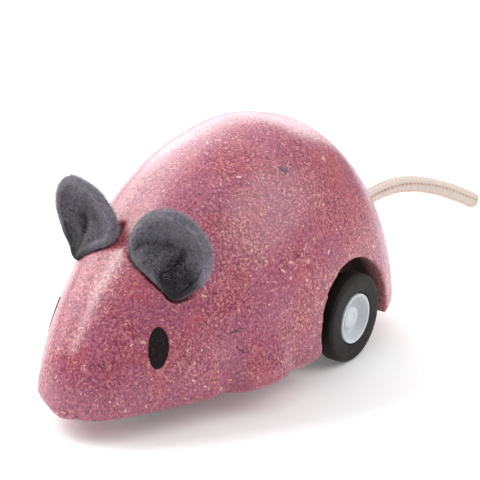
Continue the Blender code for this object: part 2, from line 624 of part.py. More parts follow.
# ---------------------------------------------------------------- motor case
def make_case_half(name, side, skin):
    """One moulded half: a box open towards the middle, with a screw tab on its outside."""
    outer = box((CASE_SEAM, CASE_FRONT_Y, CASE_FLOOR_Z), (CASE_HALF_WIDTH, CASE_REAR_Y, CASE_ROOF_Z))
    half = object_from(name, outer, skin, smooth=False)
    tab = object_from("tool_" + name + "_tab",
                      box((CASE_HALF_WIDTH - 0.5, TAB_SIDE_Y - TAB_HALF_WIDTH, TAB_FLOOR_Z),
                          (TAB_REACH_X, TAB_SIDE_Y + TAB_HALF_WIDTH, TAB_FLOOR_Z + TAB_THICKNESS)),
                      smooth=False)
    pieces = [tab]
    if side < 0:
        for word, low in (("root", (CASE_SEAM, CASE_REAR_Y - 0.5, TAB_FLOOR_Z)),
                          ("plate", (-TAB_HALF_WIDTH, CASE_REAR_Y + GAP, TAB_FLOOR_Z))):
            high = (TAB_HALF_WIDTH, TAB_REACH_Y, TAB_FLOOR_Z + TAB_THICKNESS)
            pieces.append(object_from("tool_" + name + "_rear_" + word, box(low, high), smooth=False))
    for piece in pieces:
        piece.hide_render = True
        piece.display_type = "WIRE"
        join = half.modifiers.new("join", "BOOLEAN")
        join.operation = "UNION"
        join.solver = "EXACT"
        join.object = piece
    tools = [object_from("tool_" + name + "_hollow",
                         box((-1.0, CASE_FRONT_Y + CASE_WALL, CASE_FLOOR_Z + CASE_WALL),
                             (CASE_HALF_WIDTH - CASE_WALL, CASE_REAR_Y - CASE_WALL,
                              CASE_ROOF_Z - CASE_WALL)), smooth=False),
             bore("tool_" + name + "_axle", (0.0, *REAR_AXLE_AT), 5.0, 12.0, AXLE_RADIUS + BORE_PLAY),
             bore("tool_" + name + "_pin", (0.0, *MIDDLE_AT), 5.0, 12.0,
                  MIDDLE_PIN_RADIUS + BORE_PLAY),
             bore("tool_" + name + "_arbor", (0.0, *SPRING_AT), 5.0, 12.0,
                  ARBOR_RADIUS + BORE_PLAY),
             object_from("tool_" + name + "_screw", upright_rod(4.0, 9.0, SCREW_RADIUS + SCREW_HOLE_PLAY),
                         location=(TAB_SCREW_X, TAB_SIDE_Y, 0.0))]
    if side < 0:
        tools.append(object_from("tool_" + name + "_rear_screw",
                                 upright_rod(4.0, 9.0, SCREW_RADIUS + SCREW_HOLE_PLAY),
                                 location=(0.0, TAB_SCREW_Y, 0.0)))
    cut(half, tools)
    if side < 0:
        for thing in [half] + pieces + tools:
            for vertex in thing.data.vertices:
                vertex.co.x = -vertex.co.x
            thing.data.flip_normals()
            thing.location.x = -thing.location.x
    return half


# ---------------------------------------------------------------- ears
def smooth_step(value):
    value = min(max(value, 0.0), 1.0)
    return value * value * (3 - 2 * value)


def forehead(x, z):
    """Y of the body's surface where the ears stand, as a simple quadratic."""
    rise = z - FOREHEAD_AT[1]
    return (FOREHEAD_AT[0] + FOREHEAD_ROUND * x * x + FOREHEAD_SLOPE * rise
            + FOREHEAD_BEND * rise ** 2)


def ear_edge(turn):
    """A point of the felt's rim: a closed Catmull-Rom curve through EAR_RIM."""
    count = len(EAR_RIM)
    place = (turn / math.tau * count) % count
    k, t = int(place), place % 1.0
    a, b, c, d = (Vector(EAR_RIM[(k + step) % count]) for step in (-1, 0, 1, 2))
    return 0.5 * (2 * b + (c - a) * t + (2 * a - 5 * b + 4 * c - d) * t ** 2
                  + (3 * b - a - 3 * c + d) * t ** 3)


def ear_hollow(reach, turn):
    """The middle of the felt as a free cup, at a share of the way from its bottom to its rim."""
    bottom = Vector(EAR_CUP)
    out = ear_edge(turn) - bottom
    return bottom + Vector((out.x * reach, out.y * reach ** EAR_HOLLOW_POWER, out.z * reach))


def ear_middle(reach, turn, lift):
    """The middle of the felt, held ahead of the forehead but for its rim, which enters the slot."""
    spot = ear_hollow(reach, turn)
    foot = smooth_step((reach - EAR_FOOT_SHARE) / (1.0 - EAR_FOOT_SHARE))
    held = forehead(spot.x, spot.z + lift) - EAR_STANDOFF + EAR_DIVE * foot
    apart = abs(spot.y - held) / EAR_BEND
    spot.y = min(spot.y, held) - EAR_BEND * math.log(1 + math.exp(-apart))
    return spot


def ear_point(reach, turn, through, lift):
    """A point of the felt, at a distance in front of its middle."""
    near, step = max(reach, EAR_FACING_START), EAR_FACING_STEP
    facing = Vector()
    for sheet in (ear_hollow, lambda share, way: ear_middle(share, way, lift)):
        along = sheet(near + step, turn) - sheet(near - step, turn)
        around = sheet(near, turn + step) - sheet(near, turn - step)
        way = along.cross(around).normalized()
        facing += -way if way.y > 0 else way
    return ear_middle(reach, turn, lift) + facing.normalized() * through


def ear_builder(side, thickness, shares):
    """The felt as a closed sheet of the given thickness, with rings at these shares of its rim."""
    builder = bmesh.new()
    lift = 0.0 if side > 0 else RIGHT_EAR_LIFT
    layers = []
    for through in (thickness / 2, -thickness / 2):
        middle = builder.verts.new(ear_point(0.0, 0.0, through, lift))
        loops = [[builder.verts.new(ear_point(share, math.tau * spoke / EAR_SPOKES, through, lift))
                  for spoke in range(EAR_SPOKES)] for share in shares]
        layers.append((middle, loops))
    for middle, loops in layers:
        for k in range(EAR_SPOKES):
            builder.faces.new((middle, loops[0][k - 1], loops[0][k]))
        for near, far in zip(loops, loops[1:]):
            for k in range(EAR_SPOKES):
                builder.faces.new((near[k - 1], near[k], far[k], far[k - 1]))
    front = layers[0][1][-1]
    rear = layers[1][1][-1]
    for k in range(EAR_SPOKES):
        builder.faces.new((front[k - 1], front[k], rear[k], rear[k - 1]))
    for vertex in builder.verts:
        vertex.co.x *= side
        vertex.co.z += lift
    return builder


def make_ears(felt):
    tools = []
    for side, word in ((1, "left"), (-1, "right")):
        object_from("ear_" + word, ear_builder(side, EAR_THICKNESS, EAR_RING_SHARES), felt)
        tools.append(object_from("tool_ear_slot_" + word,
                                 ear_builder(side, EAR_THICKNESS + 2 * EAR_SLOT_PLAY,
                                             EAR_RING_SHARES + (EAR_SLOT_SHARE,))))
    return tools


# ---------------------------------------------------------------- tail
def smooth_route(points, count):
    """Evenly spread points along a Catmull-Rom curve through the given ones."""
    knots = [Vector(point) for point in points]
    padded = [2 * knots[0] - knots[1]] + knots + [2 * knots[-1] - knots[-2]]
    fine = []
    for k in range(1, len(padded) - 2):
        a, b, c, d = padded[k - 1:k + 3]
        for step in range(12):
            t = step / 12
            fine.append(0.5 * (2 * b + (c - a) * t + (2 * a - 5 * b + 4 * c - d) * t ** 2
                               + (3 * b - a - 3 * c + d) * t ** 3))
    fine.append(knots[-1])
    lengths = [0.0]
    for a, b in zip(fine, fine[1:]):
        lengths.append(lengths[-1] + (b - a).length)
    spread = []
    k = 0
    for step in range(count):
        wanted = lengths[-1] * step / (count - 1)
        while k < len(fine) - 2 and lengths[k + 1] < wanted:
            k += 1
        share = (wanted - lengths[k]) / (lengths[k + 1] - lengths[k])
        spread.append(fine[k].lerp(fine[k + 1], share))
    return spread


def make_tail(cotton):
    curve = bpy.data.curves.new("tail_cord", "CURVE")
    curve.dimensions = "3D"
    curve.bevel_depth = TAIL_RADIUS * MM
    curve.bevel_resolution = 2
    curve.render_resolution_u = 0
    curve.use_fill_caps = True
    spline = curve.splines.new("POLY")
    route = smooth_route(TAIL_ROUTE, TAIL_POINTS)
    spline.points.add(len(route) - 1)
    for point, place in zip(spline.points, route):
        point.co = (*(place * MM), 1.0)
    curve.materials.append(cotton)
    tail = bpy.data.objects.new("tail_cord", curve)
    bpy.context.scene.collection.objects.link(tail)
    return tail


# ---------------------------------------------------------------- the whole mouse
def build():
    clear_scene()
    composite = material("pressed_wood_fibre", (0.41, 0.17, 0.21), 0.45)
    felt = material("grey_felt", (0.095, 0.085, 0.10), 0.95)
    cotton = material("cotton_cord", (0.68, 0.56, 0.47), 0.85)
    rubber = material("black_rubber", (0.045, 0.040, 0.038), 0.6)
    white = material("white_plastic", (0.62, 0.63, 0.66), 0.4)
    steel = material("bright_steel", (0.55, 0.55, 0.56), 0.3, 1.0)
    spring_steel = material("blue_spring_steel", (0.16, 0.17, 0.20), 0.35, 1.0)
    brass = material("brass", (0.72, 0.52, 0.22), 0.3, 1.0)
    nylon = material("natural_nylon", (0.78, 0.76, 0.68), 0.5)
    moulding = material("black_moulding", (0.05, 0.05, 0.055), 0.5)

    ear_tools = make_ears(felt)
    make_body(composite, ear_tools)
    make_tail(cotton)
    rear_spin = make_rear_wheels(rubber, white, steel)
    make_front_rollers(white, steel, moulding)
    make_gears(nylon, brass, steel, rear_spin)
    make_mainspring(spring_steel)
    make_case_half("motor_case_left", 1, moulding)
    make_case_half("motor_case_right", -1, moulding)
    make_screw("motor_screw_left", steel, TAB_SCREW_X, TAB_SIDE_Y, TAB_FLOOR_Z)
    make_screw("motor_screw_right", steel, -TAB_SCREW_X, TAB_SIDE_Y, TAB_FLOOR_Z)
    make_screw("motor_screw_rear", steel, 0.0, TAB_SCREW_Y, TAB_FLOOR_Z)
    for side, word in ((1, "front"), (-1, "rear")):
        make_screw("bracket_screw_" + word, steel, 0.0,
                   FRONT_AXLE_Y - side * BRACKET_SCREW_OFFSET, BRACKET_ROOF_Z - BRACKET_PLATE)


build()
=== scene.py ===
"""Looks of the pull-back toy mouse: its materials, and fine pieces in place of the plain solids.

The frame is in metres with the nose along -Y and the mouse's left side at +X. Lengths below are
in millimetres, and turned into metres by MM.
"""

import math

import bmesh
import bpy
import numpy as np
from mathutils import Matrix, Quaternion, Vector, noise
from mathutils.bvhtree import BVHTree


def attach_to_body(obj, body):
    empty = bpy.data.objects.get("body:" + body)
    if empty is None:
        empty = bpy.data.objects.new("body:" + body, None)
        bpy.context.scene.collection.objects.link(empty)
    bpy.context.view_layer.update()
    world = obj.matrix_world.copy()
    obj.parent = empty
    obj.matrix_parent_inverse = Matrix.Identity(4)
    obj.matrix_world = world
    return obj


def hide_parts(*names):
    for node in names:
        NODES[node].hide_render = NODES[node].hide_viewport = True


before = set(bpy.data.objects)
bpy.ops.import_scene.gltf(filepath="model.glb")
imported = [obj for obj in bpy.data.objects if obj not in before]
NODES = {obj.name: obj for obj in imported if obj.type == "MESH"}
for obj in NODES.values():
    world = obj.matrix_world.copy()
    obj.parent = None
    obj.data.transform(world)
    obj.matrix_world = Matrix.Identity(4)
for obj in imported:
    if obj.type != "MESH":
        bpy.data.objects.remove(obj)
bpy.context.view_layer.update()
MM = 0.001
SIDES = ((1, "left"), (-1, "right"))

# ---- the body's own dimensions (mm)
BACK_LINE = [(-47.5, 12.5), (-43.0, 18.6), (-36.0, 27.0), (-28.0, 33.8), (-19.0, 40.2),
             (-9.0, 46.0), (3.0, 50.2), (15.0, 51.6), (26.0, 49.5), (35.0, 43.8),
             (42.0, 35.0), (47.5, 26.0)]
PLAN_LINE = [(-47.5, 6.4), (-43.0, 10.3), (-34.0, 16.0), (-26.0, 20.0), (-18.0, 23.3),
             (-8.0, 26.3), (4.0, 28.3), (17.0, 28.8), (29.0, 28.0), (37.0, 25.4),
             (43.0, 20.8), (47.5, 15.5)]
NOSE_ROUNDING = 3.8
RUMP_ROUNDING = 7.0
UNDERSIDE = 4.6
EDGE_RADIUS = 3.2
EDGE_SHARES = (0.6, 0.4)  # most of the section's width and height that it may take
END_HEIGHT_POWER = 0.7  # the ends close more slowly in height than in width
END_FACE_SHARE = 0.012  # share of the length's half turn taken by each flat end face
FLANK_POWER = 2.2
CROWN_POWER = 2.05
PAW_BULGE = 2.4
PAW_CENTRE = (-15.0, 7.5)
PAW_REACH = (4.5, 8.0)  # ahead of the paw's middle, and behind it
PAW_REACH_UP = 6.0
PAW_GROOVE = 1.5  # depth of the crease ahead of the paw
PAW_GROOVE_AHEAD = 5.2  # from the paw's middle to the crease
PAW_GROOVE_WIDTH = 1.7
BODY_REACH = (36.0, 50.0)  # X and Y that lie outside the body
REAR_HEM_Y = 30.2
REAR_HEM_Z = 6.3
AXLE_AT = (17.0, 10.0)  # (Y, Z) of the rear axle
ARCH_RADIUS = 13.3
ARCH_WALL_X = 19.3
ARCH_LIP_X = 27.9  # the cut finish starts inside this
WHEEL_FACE_X = 28.0
TYRE_RADIUS = 10.0
TYRE_WIDTH = 6.5
TREAD_STEP_WIDTH = 2.4  # lower part of the tread on the inboard side
TREAD_STEP_DEPTH = 1.1
HUB_RADIUS = 5.6
HUB_WEB_DEPTH = 2.4
BORE_RADIUS = 1.12
ROLLER_AT = (-27.0, 6.0)  # (Y, Z) of the front axle
ROLLER_X = (0.8, 6.2)
EYE_AT = (-33.5, 18.35)  # (Y, Z) of the eye's middle
EYE_WIDE = (1.6, -0.28)  # its half axes, as (Y, Z)
EYE_TALL = (1.26, 3.78)
EYE_LIFT = 0.045  # of the paint's face above the composite
EYE_FILM = 0.1
EAR_THICKNESS = 1.8
EAR_LIFT = {1: 0.0, -1: 2.0}  # the right ear sits higher
EAR_RIM = [(13.4, -26.4, 26.3), (10.6, -27.1, 28.4), (6.8, -27.7, 30.8), (3.2, -27.9, 33.0),
           (2.0, -27.6, 35.6), (3.5, -27.5, 39.3), (7.2, -27.5, 42.8), (12.4, -27.7, 44.5),
           (16.3, -26.5, 42.8), (19.0, -25.3, 39.3), (19.7, -24.6, 35.2), (18.5, -24.4, 30.9),
           (16.2, -24.9, 28.2)]
EAR_CUP = (11.6, -22.4, 35.6)
EAR_HOLLOW_POWER = 1.55
EAR_STANDOFF = 1.9
EAR_FOOT_SHARE = 0.6
EAR_DIVE = 2.9
EAR_BEND = 0.6  # softness of the bend where the felt is held off the forehead
EAR_FACING_START = 0.12  # least share of the way to the rim at which its direction is taken
EAR_FACING_STEP = 0.03
FOREHEAD_AT = (-30.3, 32.0)  # Y and Z of the forehead's middle between the ears
FOREHEAD_SLOPE = 1.23  # growth of its Y with height there
FOREHEAD_BEND = 0.0194  # growth of that slope with height
FOREHEAD_ROUND = 0.0465  # how it falls back to the sides
EAR_REACH = 9.2  # from the cup's bottom to its rim, on average
EAR_SLOT_GROWTH = (0.7, 0.4)  # how much thicker and wider the slot is than the felt
SLOT_END = ((3.4, 33.3), (3.9, 35.3))  # (X, Z) of the notch at the slot's inner end
SLOT_END_RADIUS = 0.9
EAR_CREASE = [(13.6, 36.6), (12.8, 34.7), (12.1, 33.0), (11.7, 31.5), (12.5, 29.8),
              (13.1, 27.4)]  # (X, Z)
CREASE_WIDTH = 0.85
CREASE_DEPTH = 0.6
CREASE_SHOULDER = (1.7, 1.1, 0.55)  # of the folds beside it: distance, width and height
EAR_FOOT = ((13.8, 4.4), (27.4, 5.0))  # middle and reach of the foot's shade in X, then in Z
RIM_LINE = (0.86, 0.026, 0.6)  # painted shade in a line inside the rim: share of the way, width, depth
# the motor's, its tabs', the rear axle's and the front axle's pockets: two opposite corners each
POCKETS = [((-10.9, -13.7, -1.0), (10.9, 22.9, 29.1)), ((-16.7, -8.5, -1.5), (16.7, -1.5, 7.8)),
           ((-3.5, 18.4, -2.0), (3.5, 28.5, 7.8)), ((-20.3, 15.4, -2.5), (20.3, 18.6, 11.6)),
           ((-10.1, -34.9, -3.0), (10.1, -19.1, 14.5))]
# each screw: name, X, Y, height of its head's seat, and height of the ceiling that it enters
SCREWS = [("motor_screw_left", 13.6, -5.0, 6.3, 7.8), ("motor_screw_right", -13.6, -5.0, 6.3, 7.8),
          ("motor_screw_rear", 0.0, 25.4, 6.3, 7.8),
          ("bracket_screw_front", 0.0, -32.2, 12.9, 14.2),
          ("bracket_screw_rear", 0.0, -21.8, 12.9, 14.2)]
TAIL_RADIUS = 2.15
TAIL_COLUMNS = 6  # columns of stitches round the cord
TAIL_STITCH = 0.56  # length of one stitch
TAIL_TURN = 0.8  # how far the columns are turned, in columns
TAIL_ROUTE = [(0.0, 40.5, 13.9), (0.0, 44.0, 14.7), (0.1, 47.5, 15.6), (0.5, 54.0, 17.1),
              (1.3, 60.5, 18.5), (2.6, 66.5, 19.6), (4.4, 71.4, 20.3), (6.6, 75.6, 20.2),
              (9.0, 80.0, 19.2), (11.6, 84.6, 17.4), (14.2, 89.2, 15.0), (16.6, 93.2, 12.6)]


# ---- camera, light and floor
# every place and size in metres
CAMERA_AT = (0.18222, -0.23909, 0.14452)
CAMERA_TURN = (68.7, 0.0, 35.9)  # degrees
CAMERA_LENS = 112.5
WORLD_STRENGTH = 0.36
FLOOR_GLOW = 0.12
BODY_MIDDLE = (0.0, 0.0, 0.02)
SNOUT_RIDGE = (0.0, -0.035, 0.028)
# each soft light: name, place, aim, size, watts and roll in degrees
SOFTBOXES = [("light_over", (-0.1, 0.12, 0.66), BODY_MIDDLE, (0.95, 0.95), 2.0, 0.0),
             ("light_ridge", (-0.395, -0.265, 0.485), SNOUT_RIDGE, (0.46, 0.075), 2.0, -41.0),
             ("light_left", (-0.58, 0.06, 0.38), BODY_MIDDLE, (0.8, 0.62), 4.2, 0.0),
             ("light_back", (-0.42, 0.66, 0.3), BODY_MIDDLE, (0.8, 0.42), 3.2, 0.0),
             ("light_right", (0.52, 0.27, 0.48), BODY_MIDDLE, (0.56, 0.56), 2.5, 0.0)]


def in_scene(data):
    """A new object for a mesh, a light or a camera, under the same name."""
    thing = bpy.data.objects.new(data.name, data)
    bpy.context.scene.collection.objects.link(thing)
    return thing


def make_camera():
    lens = bpy.data.cameras.new("camera")
    lens.lens = CAMERA_LENS
    lens.clip_start = 0.01
    camera = in_scene(lens)
    camera.location = CAMERA_AT
    camera.rotation_euler = [math.radians(turn) for turn in CAMERA_TURN]
    bpy.context.scene.camera = camera


def softbox(name, place, aim, size, power, roll):
    """A rectangular soft light at `place`, turned towards `aim` and rolled by some degrees."""
    lamp = bpy.data.lights.new(name, "AREA")
    lamp.shape = "RECTANGLE"
    lamp.size, lamp.size_y = size
    lamp.energy = power
    thing = in_scene(lamp)
    thing.location = place
    thing.rotation_mode = "QUATERNION"
    turned_in = Quaternion((0.0, 0.0, 1.0), math.radians(roll))
    thing.rotation_quaternion = (Vector(aim) - Vector(place)).to_track_quat("-Z", "Y") @ turned_in


def make_studio():
    world = bpy.data.worlds.new("studio")
    world.use_nodes = True
    sky = world.node_tree.nodes["Background"].inputs
    sky["Color"].default_value = (1.0, 1.0, 1.0, 1.0)
    sky["Strength"].default_value = WORLD_STRENGTH
    bpy.context.scene.world = world
    for light in SOFTBOXES:
        softbox(*light)


# ---- node trees
class Paint:
    """A material under construction: short calls that add nodes and return their outputs."""

    def __init__(self, name, **values):
        self.material = bpy.data.materials.new(name)
        self.material.use_nodes = True
        self.tree = self.material.node_tree
        self.shader = self.tree.nodes["Principled BSDF"]
        for key, value in values.items():
            self.shader.inputs[key.replace("_", " ")].default_value = value
        where = self.add("TexCoord").outputs["Object"]
        self.mm = self.vector("SCALE", where, scale=1000.0)

    def add(self, kind, inputs=None, **settings):
        node = self.tree.nodes.new("ShaderNode" + kind)
        for key, value in settings.items():
            setattr(node, key, value)
        for key, value in (inputs or {}).items():
            self.put(node.inputs[key], value)
        return node

    def put(self, slot, value):
        if isinstance(value, bpy.types.NodeSocket):
            self.tree.links.new(value, slot)
        else:
            slot.default_value = value

    def math(self, operation, *values):
        node = self.add("Math", operation=operation)
        for slot, value in zip(node.inputs, values):
            self.put(slot, value)
        return node.outputs[0]

    def times(self, first, second):
        return self.math("MULTIPLY", first, second)

    def vector(self, operation, *values, scale=None):
        node = self.add("VectorMath", operation=operation)
        for slot, value in zip(node.inputs, values):
            self.put(slot, value)
        if scale is not None:
            node.inputs["Scale"].default_value = scale
        return node.outputs["Value" if operation in ("DOT_PRODUCT", "LENGTH") else "Vector"]

    def noise(self, scale, detail=2.0, rough=0.5, at=None, distortion=0.0):
        node = self.add("TexNoise", {"Vector": at or self.mm, "Scale": scale, "Detail": detail,
                                     "Roughness": rough, "Distortion": distortion})
        return node.outputs["Fac"]

    def span(self, value, low, high, to_low=0.0, to_high=1.0):
        node = self.add("MapRange", {"Value": value, "From Min": low, "From Max": high,
                                     "To Min": to_low, "To Max": to_high},
                        interpolation_type="SMOOTHSTEP")
        return node.outputs["Result"]

    def ramp(self, value, stops, steps=False):
        node = self.add("ValToRGB", {"Fac": value})
        band = node.color_ramp
        band.interpolation = "CONSTANT" if steps else "LINEAR"
        while len(band.elements) < len(stops):
            band.elements.new(0.5)
        for element, (place, colour) in zip(band.elements, stops):
            element.position = place
            element.color = colour if len(colour) == 4 else (*colour, 1.0)
        return node.outputs

    def stored(self, name):
        return self.add("Attribute", attribute_name=name).outputs["Fac"]

    def mix(self, factor, first, second):
        node = self.add("Mix", data_type="RGBA")
        for slot, value in ((0, factor), (6, first), (7, second)):
            if isinstance(value, tuple) and len(value) == 3:
                value = (*value, 1.0)
            self.put(node.inputs[slot], value)
        return node.outputs[2]

    def bump(self, height, distance_mm, strength=1.0, under=None):
        inputs = {"Height": height, "Distance": distance_mm * MM, "Strength": strength}
        if under is not None:
            inputs["Normal"] = under
        return self.add("Bump", inputs).outputs["Normal"]

    def finish(self, colour=None, roughness=None, normal=None):
        for key, value in (("Base Color", colour), ("Roughness", roughness), ("Normal", normal)):
            if value is not None:
                self.put(self.shader.inputs[key], value)
        return self.material

    def oval(self, offset, way, length, width):
        """0 in the middle of an oval that is long along `way`, 1 at its edge, and more beyond."""
        reach = self.vector("DOT_PRODUCT", offset, way)
        along = self.times(reach, reach)
        aside = self.math("SUBTRACT", self.vector("DOT_PRODUCT", offset, offset), along)
        aside = self.times(aside, 1 / width ** 2)
        return self.math("ADD", self.times(along, 1 / length ** 2), aside)

    def flakes(self, cell, length, width, shift, soften=0.35):
        """Chips of random direction, one in each cell: (how far inside a chip, its own random)."""
        at = self.vector("ADD", self.vector("SCALE", self.mm, scale=1.0 / cell), shift)
        cells = self.add("TexVoronoi", {"Vector": at, "Scale": 1.0})
        offset = self.vector("SUBTRACT", at, cells.outputs["Position"])
        lean = self.vector("NORMALIZE", self.vector("SUBTRACT", cells.outputs["Color"],
                                                    (0.5, 0.5, 0.5)))
        inside = self.oval(offset, lean, length, width)
        own = self.add("TexWhiteNoise", {"Vector": cells.outputs["Position"]},
                       noise_dimensions="3D").outputs["Value"]
        return self.span(inside, 1.0 + soften, 1.0 - soften), own


# colours of the chips in the composite: (share at which it starts, colour, cover)
CHIP_PALE = [(0.0, (0.43, 0.14, 0.18), 0.0), (0.26, (0.57, 0.225, 0.27), 0.8),
             (0.46, (0.62, 0.255, 0.165), 0.82), (0.58, (0.7, 0.38, 0.26), 0.82),
             (0.67, (0.82, 0.6, 0.49), 0.8), (0.71, (0.2, 0.02, 0.055), 0.92),
             (0.85, (0.47, 0.06, 0.078), 0.85), (0.93, (0.1, 0.018, 0.036), 0.92)]
CHIP_BROAD = [(0.0, (0.43, 0.14, 0.18), 0.0), (0.66, (0.52, 0.19, 0.23), 0.5),
              (0.82, (0.6, 0.31, 0.24), 0.6), (0.93, (0.72, 0.48, 0.38), 0.7)]
CHIP_DARK = [(0.0, (0.07, 0.018, 0.03), 0.0), (0.45, (0.12, 0.026, 0.05), 0.75),
             (0.75, (0.045, 0.016, 0.034), 0.85)]
SPLINTER = [(0.0, (0.03, 0.015, 0.03), 0.0), (0.8, (0.03, 0.014, 0.028), 0.9)]

# the few large dark splinters of the left side, and painted shade in the notch by the right ear's
# slot:
# middle, direction, half length and half width
SPLINTERS_AND_NOTCH_SHADE = [((15.4, 6.6, 44.5), (0.6, 0.5, -0.6), 1.3, 0.75),
         ((21.5, -18.7, 18.6), (0.2, 1.0, 0.1), 1.6, 0.4),
         ((22.6, -18.6, 14.8), (1.34, 1.56, -1.78), 1.45, 0.24),
         ((21.0, -9.5, 27.0), (0.1, 0.4, -0.9), 0.8, 0.3),
         ((-3.7, -23.9, 36.3), (0.3, -0.8, -0.6), 1.25, 0.95)]


def composite_paint(name, cut_face=False):
    """Pressed wood fibre: a dyed, mottled base full of chips, under a thin lacquer.

    A cut face has no lacquer, is duller, and carries painted shade that darkens it towards the
    inside of the body.
    """
    paint = Paint(name, IOR=1.5, Coat_Weight=0.0 if cut_face else 0.3, Coat_Roughness=0.2)
    drift = paint.noise(0.075, 3.0, 0.55)
    fine = paint.noise(1.9, 4.0, 0.72)
    colour = paint.ramp(fine, [(0.38, (0.135, 0.013, 0.032)), (0.46, (0.305, 0.049, 0.086)),
                               (0.53, (0.435, 0.1, 0.146)), (0.62, (0.63, 0.236, 0.266))])["Color"]
    purple = paint.span(drift, 0.42, 0.62, 0.0, 0.42)
    colour = paint.mix(purple, colour, (0.32, 0.078, 0.18))
    red = paint.span(paint.noise(0.11, 2.0), 0.5, 0.7, 0.0, 0.35)
    colour = paint.mix(red, colour, (0.48, 0.082, 0.094))
    # each layer of chips: cell in mm, half length and half width in cells, shift, and colours
    layers = [(0.85, 0.5, 0.13, (9.3, 1.7, 14.2), CHIP_PALE),
              (1.2, 0.5, 0.12, (5.2, 11.8, 4.9), CHIP_PALE),
              (1.6, 0.5, 0.11, (13.4, 2.1, 8.6), CHIP_PALE),
              (1.9, 0.48, 0.105, (3.1, 7.7, 1.3), CHIP_PALE),
              (2.3, 0.46, 0.1, (17.2, 21.8, 14.9), CHIP_PALE),
              (3.1, 0.26, 0.13, (19.3, 11.7, 4.2), CHIP_BROAD),
              (1.5, 0.36, 0.08, (2.2, 6.1, 17.5), CHIP_DARK),
              (0.85, 0.36, 0.12, (21.0, 4.4, 6.3), CHIP_DARK),
              (9.0, 0.18, 0.034, (7.9, 15.1, 2.8), SPLINTER)]
    relief = None
    for cell, length, width, shift, chips in layers:
        inside, own = paint.flakes(cell, length, width, shift)
        band = paint.ramp(own, [(place, (*tint, cover)) for place, tint, cover in chips], True)
        cover = paint.times(inside, band["Alpha"])
        colour = paint.mix(cover, colour, band["Color"])
        if chips in (CHIP_DARK, SPLINTER):
            depth = paint.times(cover, -1.0)
            relief = depth if relief is None else paint.math("ADD", relief, depth)
    # dark splinters, and painted shade in the notch by the right ear's slot
    for centre, way, length, width in SPLINTERS_AND_NOTCH_SHADE:
        off = paint.vector("SUBTRACT", paint.mm, centre)
        size = paint.oval(off, tuple(Vector(way).normalized()), length, width)
        ragged = paint.math("ADD", size, paint.span(fine, 0.35, 0.65, -0.7, 0.7))
        colour = paint.mix(paint.span(ragged, 1.3, 0.7, 0.0, 0.85), colour, (0.05, 0.022, 0.034))
    pores = paint.span(paint.noise(3.4, 2.0, 0.5), 0.6, 0.7)
    relief = paint.math("SUBTRACT", relief, paint.times(pores, 0.5))
    grain = paint.noise(1.5, 4.0, 0.6)
    if cut_face:
        across = paint.add("SeparateXYZ", {"Vector": paint.mm}).outputs["X"]
        # painted shade: the cut faces darken towards the inside of the body
        deep = paint.span(paint.math("ABSOLUTE", across), 26.0, 22.0)
        colour = paint.mix(0.35, colour, (0.42, 0.27, 0.23))
        colour = paint.mix(paint.times(deep, 0.88), colour, (0.024, 0.012, 0.012))
        normal = paint.bump(grain, 0.35, 0.8, paint.bump(relief, 0.1))
        return paint.finish(colour, 0.72, normal)
    roughness = paint.span(grain, 0.3, 0.7, 0.27, 0.39)
    normal = paint.bump(fine, 0.02, 0.7, paint.bump(grain, 0.03, 0.6, paint.bump(relief, 0.045)))
    paint.put(paint.shader.inputs["Coat Normal"], paint.bump(fine, 0.016, 0.6))
    return paint.finish(colour, roughness, normal)


def eye_paint():
    paint = Paint("eye_black", IOR=1.45, Specular_IOR_Level=0.2)
    grain = paint.noise(2.2, 5.0, 0.7)
    colour = paint.ramp(grain, [(0.35, (0.005, 0.003, 0.003)), (0.55, (0.012, 0.006, 0.006)),
                                (0.68, (0.06, 0.026, 0.022))])["Color"]
    return paint.finish(colour, 0.62, paint.bump(grain, 0.06, 0.7))


def felt_paint(name, deep, middle, light):
    """Wool felt: matted short fibres in mixed greys, with painted shade in the crease and a painted
    highlight at the rim.
    """
    paint = Paint(name, Roughness=0.95, IOR=1.3, Sheen_Weight=0.28, Sheen_Roughness=0.5,
                  Sheen_Tint=(0.86, 0.84, 0.9, 1.0))
    mat = paint.noise(1.5, 6.0, 0.75, distortion=0.6)
    patch = paint.noise(0.3, 3.0, 0.6)
    blend = paint.math("ADD", paint.times(mat, 0.8), paint.times(patch, 0.2))
    colour = paint.ramp(blend, [(0.4, deep), (0.5, middle), (0.6, light)])["Color"]
    inside, own = paint.flakes(0.9, 0.48, 0.04, (4.0, 9.0, 2.0), 0.4)
    pale = paint.times(inside, paint.span(own, 0.3, 0.9, 0.0, 0.6))
    colour = paint.mix(pale, colour, tuple(1.9 * part for part in light))
    # painted shade: darker in the crease, low down, at the foot and in a line inside the rim
    shade = paint.stored("shade")
    colour = paint.mix(paint.times(shade, 0.95), colour, (0.009, 0.007, 0.008))
    # painted highlight: paler along the rim
    rim = paint.stored("rim")
    colour = paint.mix(paint.times(rim, 0.16), colour, tuple(1.7 * part for part in light))
    normal = paint.bump(mat, 0.2, 1.0, paint.bump(inside, 0.06))
    return paint.finish(colour, None, normal)


def fibre_paint(name, colour):
    paint = Paint(name, Roughness=0.85)
    dark = tuple(0.72 * part for part in colour)
    made = paint.ramp(paint.noise(3.0, 2.0), [(0.3, dark), (0.7, colour)])
    return paint.finish(made["Color"])


def cotton_paint():
    """Knitted cotton: cream stitches with shaded holes along the seams between the columns."""
    paint = Paint("cotton_knit", Roughness=0.9, Sheen_Weight=0.25)
    yarn = paint.noise(3.2, 4.0, 0.7)
    colour = paint.ramp(yarn, [(0.3, (0.63, 0.545, 0.48)), (0.6, (0.76, 0.685, 0.625)),
                               (0.8, (0.84, 0.785, 0.74))])["Color"]
    hole = paint.stored("hole")
    uneven = paint.span(paint.noise(0.55, 3.0, 0.6), 0.35, 0.65, 0.55, 1.0)
    colour = paint.mix(paint.times(hole, uneven), colour, (0.4, 0.17, 0.06))
    end = paint.stored("cut_end")
    colour = paint.mix(end, colour, (0.62, 0.43, 0.28))
    return paint.finish(colour, None, paint.bump(yarn, 0.06, 0.8))


